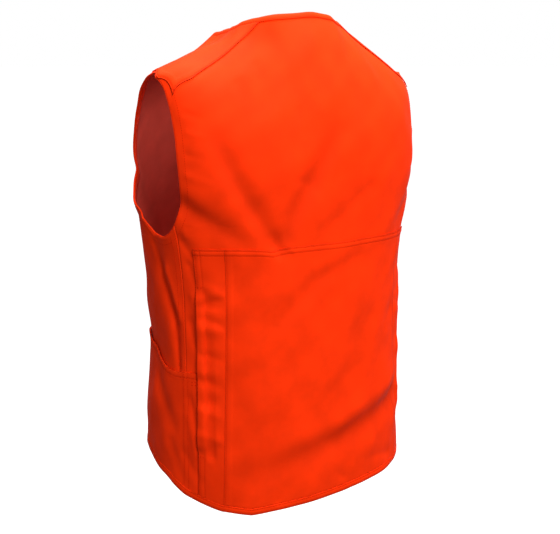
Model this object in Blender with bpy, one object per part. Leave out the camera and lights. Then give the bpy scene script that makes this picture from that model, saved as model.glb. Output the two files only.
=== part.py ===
# Hunting vest, sleeveless, filled out as if worn, with a game bag on its back.
# Metres. +Z is up, the front faces -Y, and +X is the wearer's left. The origin lies
# midway between the two points where the shoulders meet the neck.
import math

import bmesh
import bpy
import numpy as np
from mathutils import Vector

# Cloth thicknesses and the space left between pieces that are sewn together
CLOTH = 0.0012
SEAM_GAP = 0.0003
OVERLAY_BASE = CLOTH + SEAM_GAP
OVERLAY_TOP = OVERLAY_BASE + CLOTH

# Level cross-sections of the filled-out body. "square" is the power of the
# superellipse: 2 is an ellipse and more is squarer. Columns: height, half_width,
# back_depth, front_depth, back_square, front_square
SECTIONS = np.array((
    (-0.760, 0.2005, 0.143, 0.135, 2.2, 2.1),
    (-0.600, 0.2005, 0.142, 0.135, 2.2, 2.1),
    (-0.470, 0.1980, 0.138, 0.128, 2.2, 2.1),
    (-0.340, 0.2025, 0.139, 0.131, 2.2, 2.1),
    (-0.200, 0.2220, 0.145, 0.144, 2.4, 2.05),
))

# The shoulders: a dome above this height, whose ridge runs from neck to armhole.
# Columns of the ridge: x, height
DOME_BASE = -0.200
RIDGE_Y = 0.030
RIDGE = np.array((
    (0.000, 0.0543), (0.030, 0.0412), (0.060, 0.0155), (0.085, -0.0030), (0.120, -0.0285),
    (0.150, -0.0450), (0.180, -0.0565), (0.206, -0.0675), (0.235, -0.0815),
))
DOME_SQUARE_MIDDLE = 1.85
DOME_SQUARE_TIP = 2.40
DOME_TIP_X = 0.200

# Neck opening of the panels, in plan, and the V of the front
NECK_HALF_WIDTH = 0.0935
NECK_BACK_Y = 0.0927
NECK_SQUARE = 1.7
NECK_FRONT_TAPER = 0.03
V_BOTTOM = -0.165
V_BEND = 0.9
BAND_WIDTH = 0.009

# Armhole in side view: an egg whose long axis leans, with its own reach and power in
# each quarter: reach, rise, square
ARMHOLE_TOP = (0.012, -0.068)
ARMHOLE_BOTTOM = (0.028, -0.2925)
ARMHOLE_MIDDLE = -0.205
ARMHOLE_QUARTERS = {
    "rear_up": (0.0500, 0.137, 2.8),
    "rear_down": (0.0500, 0.0875, 1.85),
    "front_up": (0.0970, 0.137, 1.9),
    "front_down": (0.0970, 0.0875, 1.65),
}
FACING_WIDTH = 0.012

# Seams, as angles round the body: 90 is the middle of the back, 0 the wearer's left
# side and -90 the middle of the front
SIDE_SEAM = 22.5
ZIP_HALF_GAP = 0.004
BAG_TOP = -0.305
POCKET_AT_SEAM = -0.482
YOKE_FRONT_Y = -0.025
YOKE_CORNER_SHARES = (0.45, 0.75)

# Rear edge of the shoulder yokes, in plan. Columns: x, y
YOKE_LINE = np.array(((0.055, 0.0670), (0.105, 0.0650), (0.180, 0.0680), (0.202, 0.0600)))

# Finished hem, all round from the middle of the front. Columns: angle, height
HEM = np.array((
    (-90, -0.600), (-50, -0.600), (-15, -0.610), (-6, -0.622), (11, -0.643), (22, -0.660),
    (30, -0.669), (41, -0.680), (54, -0.686), (73, -0.680), (94, -0.6735), (110, -0.668),
    (142, -0.660), (158, -0.652), (170, -0.641), (186, -0.622), (197, -0.611), (230, -0.600),
    (270, -0.600),
))
HEM_BAND = 0.010
HEM_INSIDE = -0.0002
HEM_OUTSIDE = 0.0028

# Mouth of the left front pocket; the right one mirrors it. Columns: angle, height
POCKET_MOUTH = np.array((
    (-90, -0.440), (-40, -0.440), (-20, -0.446), (-5, -0.456), (0, -0.469), (7, -0.479),
    (14, -0.484), (22.5, -0.482),
))
POCKET_TRIM = 0.001
POCKET_BILLOW = 0.0022
BAG_BILLOW = 0.0022
STRIP_BILLOW = 0.0008

# Where the lines of columns run, as angles, from the side seam to the neck line and on
# to the middle. The strip of the bag lies between the second and the fourth.
BACK_AT_HEM = (22.5, 30.0, 36.0, 42.0, 49.0, 56.0, 63.0, 70.0, 75.0, 80.0, 85.0, 90.0)
BACK_AT_BAG = (22.5, 30.0, 37.0, 44.5, 51.0, 57.5, 64.0, 71.0, 75.75, 80.5, 85.25, 90.0)
FRONT_AT_HEM = (22.5, 14.0, 5.0, -3.0, -11.0, -19.0, -27.0, -35.0, -43.0, -51.0,
                -60.5, -70.0, -79.5)
SHOULDER_COLUMNS = 7
CENTRE_COLUMNS = 4
UNDERARM_COLUMNS = 2

# Rows of the panels, counted up from the hem
ROW_POCKET = 5
ROW_BAG = 10
ROW_ARMPIT = 11
ROW_DOME = 15
ROW_YOKE = 19
ROW_RIDGE = 22
ROW_HEIGHTS_UNDERARM = (-0.268, -0.250, -0.227)

# Largest folds. Each runs straight from one place to another; a minus depth is a
# trough and a plus depth a ridge. Columns: angle_a, height_a, angle_b, height_b,
# half_width, depth_a, depth_b
FOLDS = (
    (28.0, -0.232, 43.0, -0.264, 0.018, -0.0060, -0.0055),
    (43.0, -0.264, 58.0, -0.294, 0.015, -0.0050, -0.0025),
    (41.0, -0.150, 51.0, -0.210, 0.013, -0.0015, -0.0040),
    (51.0, -0.210, 62.0, -0.292, 0.013, -0.0040, -0.0030),
    (100.0, -0.139, 84.0, -0.196, 0.014, -0.0020, -0.0042),
    (84.0, -0.196, 71.0, -0.292, 0.014, -0.0042, -0.0030),
    (108.0, -0.231, 88.0, -0.286, 0.013, -0.0032, -0.0020),
    (66.0, -0.190, 66.0, -0.280, 0.018, 0.0020, 0.0030),
    (152.0, -0.236, 132.0, -0.284, 0.016, -0.0040, -0.0020),
    (105.0, -0.330, 83.0, -0.354, 0.013, -0.0016, -0.0028),
    (83.0, -0.354, 66.0, -0.415, 0.013, -0.0028, -0.0012),
    (112.0, -0.427, 86.0, -0.572, 0.022, -0.0022, -0.0018),
    (136.0, -0.556, 103.0, -0.586, 0.014, -0.0060, -0.0055),
    (103.0, -0.586, 52.0, -0.630, 0.014, -0.0055, -0.0015),
    (136.0, -0.528, 80.0, -0.580, 0.017, 0.0040, 0.0018),
    (5.0, -0.284, 7.0, -0.343, 0.012, -0.0015, -0.0030),
    (7.0, -0.343, 17.0, -0.413, 0.011, -0.0030, -0.0035),
    (17.0, -0.413, 17.0, -0.480, 0.010, -0.0030, -0.0015),
    (0.0, -0.500, 14.0, -0.562, 0.013, -0.0025, -0.0015),
    (-20.0, -0.150, -48.0, -0.290, 0.016, -0.0020, -0.0040),
    (-12.0, -0.262, -50.0, -0.340, 0.015, -0.0045, -0.0020),
    (-60.0, -0.330, -36.0, -0.420, 0.015, -0.0020, -0.0025),
    (-80.0, -0.520, -38.0, -0.560, 0.016, -0.0030, -0.0025),
    (202.0, -0.140, 226.0, -0.280, 0.016, -0.0020, -0.0045),
    (190.0, -0.270, 224.0, -0.352, 0.016, -0.0050, -0.0020),
    (238.0, -0.300, 214.0, -0.400, 0.014, -0.0015, -0.0025),
    (258.0, -0.545, 222.0, -0.572, 0.016, -0.0030, -0.0020),
    (178.0, -0.300, 166.0, -0.420, 0.014, -0.0015, -0.0030),
    (176.0, -0.500, 190.0, -0.560, 0.014, -0.0020, -0.0025),
)
FOLD_RADIUS = 0.190

# Front zip
TAPE_OVERLAP = 0.009
TAPE_OUTSIDE = -0.0006
TAPE_INSIDE = -0.0016
CHAIN_HALF_WIDTH = 0.0026
CHAIN_INSIDE = -0.0003
CHAIN_OUTSIDE = 0.0016
SLIDER_SIZE = (0.0084, 0.0030, 0.0110)
SLIDER_TOP = -0.178
SLIDER_GAP = 0.0003
EAR_THICK = 0.0010
EAR_GAP = 0.0003
BAR_RADIUS = 0.0008
EYE_INNER = 0.0012
EYE_OUTER = 0.0021
PULL_HEAD_WIDTH = 0.0034
PULL_SIZE = (0.0062, 0.0012, 0.0240)
PULL_NECK_END = 0.0061
PULL_TAB_START = 0.0051

ORANGE = (0.95, 0.055, 0.004, 1.0)
ZIP_BLACK = (0.02, 0.02, 0.02, 1.0)


def clear_scene():
    for item in list(bpy.data.objects):
        bpy.data.objects.remove(item, do_unlink=True)


def mix(a, b, share):
    return a + (b - a) * share


def end_slopes(table, level_end):
    """Slopes of a table's columns at its rows, level at the first or the last one."""
    slopes = np.gradient(table, table[:, 0], axis=0)
    slopes[level_end] = 0.0
    return slopes


SECTION_SLOPES = end_slopes(SECTIONS, -1)
RIDGE_SLOPES = end_slopes(RIDGE, 0)


def smooth_value(table, slopes, column, place):
    """A column's value at a place, on a cubic through the table's rows."""
    places = table[:, 0]
    place = min(max(place, places[0]), places[-1])
    k = min(max(int(np.searchsorted(places, place)) - 1, 0), len(places) - 2)
    step = places[k + 1] - places[k]
    u = (place - places[k]) / step
    start = (1 + 2 * u) * table[k, column] + u * step * slopes[k, column]
    end = (3 - 2 * u) * table[k + 1, column] + (u - 1) * step * slopes[k + 1, column]
    return float(start * (1 - u) ** 2 + end * u * u)


def section(height, at_back):
    """Half width, depth and power of the cross-section, on the back or the front."""
    side = 0 if at_back else 1
    return tuple(smooth_value(SECTIONS, SECTION_SLOPES, k, height) for k in (1, 2 + side, 4 + side))


def ridge_height(x):
    """Height of the shoulder ridge above a distance from the middle."""
    return smooth_value(RIDGE, RIDGE_SLOPES, 1, abs(x))


def dome_square(x):
    """Power of the shoulder's profile: round at the neck, squarer at the tip."""
    return mix(DOME_SQUARE_MIDDLE, DOME_SQUARE_TIP, min(abs(x) / DOME_TIP_X, 1.1) ** 4)


def form_point(angle, level):
    """A point of the body's form.

    Below the dome's base, level is a height. Above it, it is the base plus an angle
    in radians that runs from the base, 0, to the ridge, a quarter turn.
    """
    turn = math.radians(angle)
    across, along = math.cos(turn), math.sin(turn)
    half_width, depth, power = section(min(level, DOME_BASE), along >= 0)
    radius = (abs(across) ** power + abs(along) ** power) ** (-1 / power)
    x = half_width * radius * across
    y = depth * radius * along
    if level <= DOME_BASE:
        return Vector((x, y, level))
    lift = min(level - DOME_BASE, math.pi / 2)
    share = 2 / dome_square(x)
    z = DOME_BASE + (ridge_height(x) - DOME_BASE) * math.sin(lift) ** share
    return Vector((x, mix(RIDGE_Y, y, max(math.cos(lift), 0.0) ** share), z))


def wall_depth(x, at_back):
    """How far the dome's base reaches at a distance from the middle."""
    half_width, depth, power = section(DOME_BASE, at_back)
    return depth * (1 - min(abs(x) / half_width, 1.0) ** power) ** (1 / power)


def dome_reach(x, y):
    """How far a place lies from the ridge towards the dome's wall, from 0 to 1."""
    if y >= RIDGE_Y:
        return (y - RIDGE_Y) / max(wall_depth(x, True) - RIDGE_Y, 0.002)
    return (RIDGE_Y - y) / (wall_depth(x, False) + RIDGE_Y)


def dome_point(x, y):
    """The point of the shoulder's dome above a place in plan."""
    power = dome_square(x)
    rise = (1 - min(dome_reach(x, y), 1.0) ** power) ** (1 / power)
    return Vector((x, y, DOME_BASE + (ridge_height(x) - DOME_BASE) * rise))


def dome_level(x, y):
    """The level that lifts the dome's wall in to a depth y."""
    return DOME_BASE + math.acos(min(dome_reach(x, y), 1.0) ** (dome_square(x) / 2))


def form_value(point):
    """Below nought inside the form, above it outside."""
    x, y, z = point
    if z <= DOME_BASE:
        half_width, depth, power = section(z, y >= 0)
        return (abs(x) / half_width) ** power + (abs(y) / depth) ** power - 1
    square = dome_square(x)
    rise = (z - DOME_BASE) / (ridge_height(x) - DOME_BASE)
    return dome_reach(x, y) ** square + rise ** square - 1


def form_normal(point):
    """The form's outward direction, from differences over a few millimetres."""
    step = 0.003
    slopes = []
    for axis in range(3):
        shift = Vector((0, 0, 0))
        shift[axis] = step
        slopes.append(form_value(point + shift) - form_value(point - shift))
    return Vector(slopes).normalized()


def angle_of(point):
    """The angle round the body at which a point lies, from -90 to 270."""
    half_width, depth, _ = section(min(point.z, DOME_BASE), point.y >= 0)
    angle = math.degrees(math.atan2(point.y / depth, point.x / half_width))
    return angle + 360 if angle < -90.001 else angle


def fold_depth(point):
    """How far the folds move the cloth out at a point of the form."""
    place = np.array((math.radians(angle_of(point)) * FOLD_RADIUS, point.z))
    total = 0.0
    for angle_a, height_a, angle_b, height_b, half_width, depth_a, depth_b in FOLDS:
        start = np.array((math.radians(angle_a) * FOLD_RADIUS, height_a))
        end = np.array((math.radians(angle_b) * FOLD_RADIUS, height_b))
        run = end - start
        share = min(max(float(np.dot(place - start, run) / np.dot(run, run)), 0.0), 1.0)
        away = float(np.linalg.norm(place - start - run * share))
        total += mix(depth_a, depth_b, share) * math.exp(-(away / half_width) ** 2)
    return total


def cloth_spot(point):
    """Where the cloth lies over a point of the form, and its outward direction."""
    normal = form_normal(point)
    return point + normal * fold_depth(point), normal


def between(spot_a, spot_b, share):
    return mix(spot_a[0], spot_b[0], share), mix(spot_a[1], spot_b[1], share).normalized()


def solve(test, outside, inside):
    """The place between two values where a test changes from True to False."""
    for _ in range(40):
        middle = (outside + inside) / 2
        if test(middle):
            outside = middle
        else:
            inside = middle
    return (outside + inside) / 2


def in_armhole(point):
    """True where the side view of a point falls inside the armhole's egg."""
    height_share = (ARMHOLE_TOP[1] - point.z) / (ARMHOLE_TOP[1] - ARMHOLE_BOTTOM[1])
    lean = mix(ARMHOLE_TOP[0], ARMHOLE_BOTTOM[0], height_share)
    side = "rear" if point.y >= lean else "front"
    half = "up" if point.z >= ARMHOLE_MIDDLE else "down"
    reach, rise, square = ARMHOLE_QUARTERS[side + "_" + half]
    along = abs(point.y - lean) / reach
    upward = abs(point.z - ARMHOLE_MIDDLE) / rise
    return along ** square + upward ** square < 1


ARMPIT = solve(lambda z: in_armhole(form_point(SIDE_SEAM, z)), DOME_BASE, BAG_TOP)
FRONT_FLOOR = ARMHOLE_BOTTOM[1] - 0.0015


def hem_height(angle):
    return float(np.interp(angle, HEM[:, 0], HEM[:, 1])) + HEM_BAND + SEAM_GAP


def pocket_height(angle):
    angle = 180 - angle if angle > 90 else angle
    return float(np.interp(angle, POCKET_MOUTH[:, 0], POCKET_MOUTH[:, 1]))


def neck_back(x):
    """How far back the panel's neck edge lies at a distance from the middle."""
    inward = (1 - min(abs(x) / NECK_HALF_WIDTH, 1.0) ** NECK_SQUARE) ** (1 / NECK_SQUARE)
    return mix(RIDGE_Y, NECK_BACK_Y, inward)


def neck_half_width(y):
    """How far from the middle the panel's neck edge lies at a depth."""
    if y >= RIDGE_Y:
        back = (y - RIDGE_Y) / (NECK_BACK_Y - RIDGE_Y)
        return NECK_HALF_WIDTH * (1 - back ** NECK_SQUARE) ** (1 / NECK_SQUARE)
    forward = (RIDGE_Y - y) / (RIDGE_Y - YOKE_FRONT_Y)
    return NECK_HALF_WIDTH * (1 - NECK_FRONT_TAPER * forward ** 2)


def yoke_back(x):
    """How far back the yoke reaches at a distance from the middle."""
    return float(np.interp(abs(x), YOKE_LINE[:, 0], YOKE_LINE[:, 1]))


YOKE_NECK_X = solve(lambda x: yoke_back(x) < neck_back(x), 0.0, NECK_HALF_WIDTH)
V_TOP = dome_point(neck_half_width(YOKE_FRONT_Y), YOKE_FRONT_Y)


def dome_lift(x, height):
    """The dome angle at which the shoulder has a height, at a distance from the middle."""
    rise = (height - DOME_BASE) / (ridge_height(x) - DOME_BASE)
    return math.asin(rise ** (dome_square(x) / 2))


def v_height(x):
    """Height of the front's V edge at a distance from the middle."""
    share = (abs(x) - ZIP_HALF_GAP) / (V_TOP.x - ZIP_HALF_GAP)
    return mix(V_BOTTOM, V_TOP.z, max(share, 0.0) ** V_BEND)


def section_angle(x, at_back):
    """The angle of the dome's base at a distance from the middle."""
    half_width, depth, _ = section(DOME_BASE, at_back)
    angle = math.degrees(math.atan2(wall_depth(x, at_back) / depth, x / half_width))
    return angle if at_back else -angle


def top_level(angle):
    """The level of the yoke line or, nearer the middle, of the neck edge."""
    x = form_point(angle, DOME_BASE).x
    if angle >= 0:
        return dome_level(x, max(yoke_back(x), neck_back(x)))
    if abs(x) >= V_TOP.x:
        return dome_level(x, YOKE_FRONT_Y)
    return DOME_BASE + dome_lift(x, v_height(x))


def row_level(row, angle, at_back):
    """The level of a row of the left half at an angle."""
    pocket = POCKET_AT_SEAM if at_back else pocket_height(angle)
    if row <= ROW_POCKET:
        return mix(hem_height(angle), pocket, row / ROW_POCKET)
    if row <= ROW_BAG:
        return mix(pocket, BAG_TOP, (row - ROW_POCKET) / (ROW_BAG - ROW_POCKET))
    if row == ROW_ARMPIT:
        return ARMPIT
    if row < ROW_DOME:
        return ROW_HEIGHTS_UNDERARM[row - ROW_ARMPIT - 1]
    share = (row - ROW_DOME) / (ROW_YOKE - ROW_DOME)
    return mix(DOME_BASE, top_level(angle), share)


def armhole_angle(row, at_back, neck_angle):
    """The angle at which a row of the left half meets the armhole."""
    def in_hole(angle):
        return in_armhole(form_point(angle, row_level(row, angle, at_back)))
    return solve(in_hole, 10.0 if at_back else 5.0, neck_angle)


def shoulder_y(x, share, at_back):
    """The depth of a row that lies a share of the way from the yoke line to the ridge."""
    side = 1 if at_back else -1
    return mix(yoke_back(x) if at_back else YOKE_FRONT_Y, RIDGE_Y + side * SEAM_GAP / 2, share)


def shoulder_ends(share, at_back):
    """How far from the middle such a row starts at the armhole and ends at the neck."""
    def in_hole(x):
        return in_armhole(dome_point(x, shoulder_y(x, share, at_back)))

    def in_neck(x):
        return x < neck_half_width(shoulder_y(x, share, at_back))

    widest = section(DOME_BASE, True)[0] * 0.995
    return solve(in_hole, widest, NECK_HALF_WIDTH), solve(in_neck, 0.0, NECK_HALF_WIDTH + 0.01)


def armhole_floor(angle):
    """The height of the armhole's lower edge at an angle near the side seam."""
    return solve(lambda z: in_armhole(form_point(angle, z)), ARMHOLE_MIDDLE, -0.32)


def spread(k, first):
    """Share of the way from armhole to neck of a column; the facing ends at the first."""
    return 0.0 if k == 0 else mix(first, 1.0, (k - 1) / (SHOULDER_COLUMNS - 1))


def panel_row(row, at_back):
    """Points of one row of the left half, from the side seam or armhole inwards."""
    seam_shift = math.degrees(SEAM_GAP / 2 / SECTIONS[0, 1]) * (1 if at_back else -1)
    outer = SHOULDER_COLUMNS if at_back else SHOULDER_COLUMNS + UNDERARM_COLUMNS
    skip = 0 if at_back or row <= ROW_ARMPIT else UNDERARM_COLUMNS
    if row > ROW_YOKE:
        share = (row - ROW_YOKE) / (ROW_RIDGE - ROW_YOKE)
        outer_x, inner_x = shoulder_ends(share, at_back)
        first = FACING_WIDTH / (outer_x - inner_x)
        points = {}
        for k in range(SHOULDER_COLUMNS + 1):
            x = mix(outer_x, inner_x, spread(k, first))
            points[skip + k] = dome_point(x, shoulder_y(x, share, at_back))
        return points
    if at_back:
        bag_share = min(row / ROW_BAG, 1.0)
        low = [mix(a, b, bag_share) for a, b in zip(BACK_AT_HEM, BACK_AT_BAG)]
        neck_x = YOKE_NECK_X
    else:
        low = list(FRONT_AT_HEM) + [-90 + math.degrees(ZIP_HALF_GAP / SECTIONS[0, 1])]
        neck_x = V_TOP.x
    low[0] += seam_shift
    up_share = max(row - ROW_BAG, 0) / (ROW_DOME - ROW_BAG)
    up_share = min(up_share, 1.0)
    neck_angle = mix(low[outer], section_angle(neck_x, at_back), up_share)
    angles = {k: mix(neck_angle, low[-1], (k - outer) / CENTRE_COLUMNS)
              for k in range(outer, len(low))}
    if row <= ROW_ARMPIT:
        for k in range(outer):
            angles[k] = mix(low[0], neck_angle, (low[k] - low[0]) / (low[outer] - low[0]))
    else:
        edge = armhole_angle(row, at_back, neck_angle)
        start = form_point(edge, row_level(row, edge, at_back))
        side = 1 if at_back else -1
        one_on = form_point(edge + side, row_level(row, edge + side, at_back))
        first = FACING_WIDTH / (one_on - start).length / abs(neck_angle - edge)
        for k in range(outer - skip):
            low_share = (low[skip + k] - low[skip]) / (low[outer] - low[skip])
            share = first if k == 1 else mix(low_share, spread(k, first), up_share)
            angles[skip + k] = mix(edge, neck_angle, share)
    points = {}
    for k, angle in angles.items():
        level = row_level(row, angle, at_back)
        if row == ROW_ARMPIT and not at_back:
            level = armhole_floor(angle) if k <= UNDERARM_COLUMNS else FRONT_FLOOR
        points[k] = form_point(angle, level)
    return points


def mirrored(point):
    return Vector((-point.x, point.y, point.z))


def redraw(point, row):
    """A mirrored point, moved to the hem and pocket heights of the right side."""
    if row > ROW_BAG:
        return point
    angle = angle_of(point)
    at_back = point.y >= 0 and 22 < angle < 158
    pocket = POCKET_AT_SEAM if at_back else pocket_height(angle)
    if row <= ROW_POCKET:
        height = mix(hem_height(angle), pocket, row / ROW_POCKET)
    else:
        height = mix(pocket, BAG_TOP, (row - ROW_POCKET) / (ROW_BAG - ROW_POCKET))
    return form_point(angle, height)


def build_grids():
    """The cloth's spots for the back and both fronts, by row and column.

    The back's columns count from the wearer's left to the right, a front's from its
    side seam to the zip.
    """
    back, left, right = {}, {}, {}
    last = len(BACK_AT_HEM) - 1
    for row in range(ROW_RIDGE + 1):
        for k, point in panel_row(row, True).items():
            back[row, k] = cloth_spot(point)
            if k < last:
                back[row, 2 * last - k] = cloth_spot(redraw(mirrored(point), row))
        for k, point in panel_row(row, False).items():
            left[row, k] = cloth_spot(point)
            right[row, k] = cloth_spot(redraw(mirrored(point), row))
    return back, left, right


def grid_quads(grid):
    """Each cell of a grid whose four corners are there, facing out."""
    quads = []
    for row, k in grid:
        corners = [(row, k), (row, k + 1), (row + 1, k + 1), (row + 1, k)]
        if all(corner in grid for corner in corners):
            quads.append(corners)
    return quads


def cloth_material(name, colour, roughness, metallic):
    material = bpy.data.materials.new(name)
    material.use_nodes = True
    shader = material.node_tree.nodes["Principled BSDF"]
    shader.inputs["Base Color"].default_value = colour
    shader.inputs["Roughness"].default_value = roughness
    shader.inputs["Metallic"].default_value = metallic
    return material


def finish_object(name, mesh, colour=ORANGE, roughness=0.85, metallic=0.0):
    """An object round a mesh, with outward faces and its own material."""
    shell = bmesh.new()
    shell.from_mesh(mesh)
    bmesh.ops.recalc_face_normals(shell, faces=shell.faces)
    shell.to_mesh(mesh)
    shell.free()
    mesh.materials.append(cloth_material(name, colour, roughness, metallic))
    item = bpy.data.objects.new(name, mesh)
    bpy.context.scene.collection.objects.link(item)
    return item


def add_wall(name, spots, quads, inside, outside, billow=None, colour=ORANGE):
    """A closed wall of cloth between two offsets from its spots.

    billow gives, for a key, how far more that spot is blown out.
    """
    used = list(dict.fromkeys(key for quad in quads for key in quad))
    number = {key: k for k, key in enumerate(used)}
    outer, inner = [], []
    for key in used:
        place, normal = spots[key]
        extra = billow(key) if billow else 0.0
        outer.append(place + normal * (outside + extra))
        inner.append(place + normal * (inside + extra))
    faces = []
    sides = {}
    for quad in quads:
        a, b, c, d = (number[key] for key in quad)
        corners = [spots[key][0] for key in quad]
        if (corners[0] - corners[2]).length < (corners[1] - corners[3]).length:
            faces += [(a, b, c), (a, c, d)]
        else:
            faces += [(a, b, d), (b, c, d)]
        for start, end in ((a, b), (b, c), (c, d), (d, a)):
            key = (min(start, end), max(start, end))
            sides[key] = sides.get(key, 0) + 1
    count = len(used)
    faces += [tuple(k + count for k in reversed(face)) for face in faces]
    for (start, end), uses in sides.items():
        if uses == 1:
            faces += [(end, start, start + count), (end, start + count, end + count)]
    mesh = bpy.data.meshes.new(name)
    mesh.from_pydata([tuple(v) for v in outer + inner], [], faces)
    return finish_object(name, mesh, colour)


def patch(grid, rows, columns, trim=SEAM_GAP):
    """Part of a grid as its own spots, pulled in a little at its two side edges."""
    spots = {}
    first, last = columns[0], columns[-1]
    for row in rows:
        for k in columns:
            spots[row, k] = grid[row, k]
        for edge, near in ((first, columns[1]), (last, columns[-2])):
            length = (grid[row, edge][0] - grid[row, near][0]).length
            spots[row, edge] = between(grid[row, edge], grid[row, near], trim / length)
    return spots


def bulge(rows, columns, height, open_top=False):
    """A billow that rises in the middle of a patch, and at its mouth if open."""
    def extra(key):
        down = (key[0] - rows[0]) / (rows[-1] - rows[0])
        across = (key[1] - columns[0]) / (columns[-1] - columns[0])
        upright = math.sin(math.pi / 2 * down) if open_top else math.sin(math.pi * down)
        return height * upright * math.sin(math.pi * across)
    return extra


def strip_spots(path, low, high, keep_x=0.0):
    """Two rows of spots beside a path of edge spots, low and high metres from it.

    The side is the one that the path has on its left, seen from outside.
    """
    spots = {}
    for k, (place, normal) in enumerate(path):
        before = path[max(k - 1, 0)][0]
        after = path[min(k + 1, len(path) - 1)][0]
        aside = normal.cross(after - before).normalized()
        for row, away in enumerate((low, high)):
            point = place + aside * away
            if keep_x and abs(point.x) < keep_x:
                point.x = math.copysign(keep_x, place.x)
            spots[row, k] = (point, normal)
    return spots


def build_zip(left, right):
    """Zip tape and chain down the middle of the front, made from the fronts' edges."""
    edge = len(FRONT_AT_HEM)
    tape, chain = {}, {}
    for row in range(ROW_YOKE + 1):
        ends = []
        for grid in (left, right):
            length = (grid[row, edge][0] - grid[row, edge - 1][0]).length
            ends.append(between(grid[row, edge], grid[row, edge - 1], TAPE_OVERLAP / length))
        for k, spot in enumerate((ends[0], left[row, edge], right[row, edge], ends[1])):
            tape[row, k] = spot
        for k, side in enumerate((1, -1)):
            share = 0.5 - side * CHAIN_HALF_WIDTH / (2 * ZIP_HALF_GAP)
            chain[row, k] = between(left[row, edge], right[row, edge], share)
    chain = {key: spot for key, spot in chain.items() if key[0] < ROW_YOKE}
    add_wall("zip_tape", tape, grid_quads(tape), TAPE_INSIDE, TAPE_OUTSIDE, colour=ZIP_BLACK)
    add_wall("zip_chain", chain, grid_quads(chain), CHAIN_INSIDE, CHAIN_OUTSIDE, colour=ZIP_BLACK)


def box(name, low, high):
    """A box between two corners."""
    mesh = bpy.data.meshes.new(name)
    shell = bmesh.new()
    bmesh.ops.create_cube(shell, size=1.0)
    for vertex in shell.verts:
        vertex.co = Vector([mix(low[k], high[k], vertex.co[k] + 0.5) for k in range(3)])
    shell.to_mesh(mesh)
    shell.free()
    return mesh


def rod(name, radius, half_length, centre, sides=12):
    """A round bar along X."""
    mesh = bpy.data.meshes.new(name)
    shell = bmesh.new()
    bmesh.ops.create_cone(shell, cap_ends=True, segments=sides, radius1=radius, radius2=radius,
                          depth=2 * half_length)
    for vertex in shell.verts:
        x, y, z = vertex.co
        vertex.co = Vector((z, y, -x)) + centre
    shell.to_mesh(mesh)
    shell.free()
    return mesh


def combine(target, name, mesh, operation):
    """Join a mesh to an object, or cut it away."""
    tool = bpy.data.objects.new(name, mesh)
    tool.hide_render = True
    tool.display_type = "WIRE"
    bpy.context.scene.collection.objects.link(tool)
    change = target.modifiers.new(name, "BOOLEAN")
    change.operation = operation
    change.solver = "EXACT"
    change.object = tool


def hinge_place():
    """The middle of the bar that the zip's pull hangs on."""
    bottom = SLIDER_TOP - SLIDER_SIZE[2]
    place, normal = cloth_spot(form_point(-90, DOME_BASE + dome_lift(0.0, bottom)))
    face = place.y + normal.y * CHAIN_OUTSIDE
    y = face - SLIDER_GAP - SLIDER_SIZE[1] - SLIDER_GAP - EYE_OUTER
    return Vector((0, y, SLIDER_TOP - SLIDER_SIZE[2] / 2))


def build_slider():
    """Zip slider with two ears and a bar, and the pull that hangs on the bar."""
    hinge = hinge_place()
    half_x = SLIDER_SIZE[0] / 2
    front = hinge.y + EYE_OUTER + SLIDER_GAP
    low = (-half_x, front, SLIDER_TOP - SLIDER_SIZE[2])
    high = (half_x, front + SLIDER_SIZE[1], SLIDER_TOP)
    slider = finish_object("zip_slider", box("zip_slider", low, high), ZIP_BLACK, 0.4, 0.6)
    ear_inner = PULL_HEAD_WIDTH / 2 + EAR_GAP
    for name, side in (("ear_left", 1), ("ear_right", -1)):
        near, far = sorted((side * ear_inner, side * (ear_inner + EAR_THICK)))
        ear = box(name, (near, hinge.y - EYE_OUTER, hinge.z - EYE_OUTER),
                  (far, front + 0.5 * SLIDER_SIZE[1], hinge.z + EYE_OUTER))
        combine(slider, name, ear, "UNION")
    bar = rod("bar", BAR_RADIUS, ear_inner + EAR_THICK / 2, hinge)
    combine(slider, "bar", bar, "UNION")
    half_w, half_t = PULL_SIZE[0] / 2, PULL_SIZE[1] / 2
    pull = finish_object("zip_pull", rod("zip_pull", EYE_OUTER, PULL_HEAD_WIDTH / 2, hinge),
                         ZIP_BLACK, 0.4, 0.6)
    neck = box("pull_neck", (-PULL_HEAD_WIDTH / 2, hinge.y - half_t, hinge.z - PULL_NECK_END),
               (PULL_HEAD_WIDTH / 2, hinge.y + half_t, hinge.z - EYE_INNER - SEAM_GAP))
    combine(pull, "pull_neck", neck, "UNION")
    tab = box("pull_tab", (-half_w, hinge.y - half_t, hinge.z - PULL_SIZE[2]),
              (half_w, hinge.y + half_t, hinge.z - PULL_TAB_START))
    combine(pull, "pull_tab", tab, "UNION")
    combine(pull, "pull_eye", rod("pull_eye", EYE_INNER, PULL_HEAD_WIDTH, hinge), "DIFFERENCE")


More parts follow.
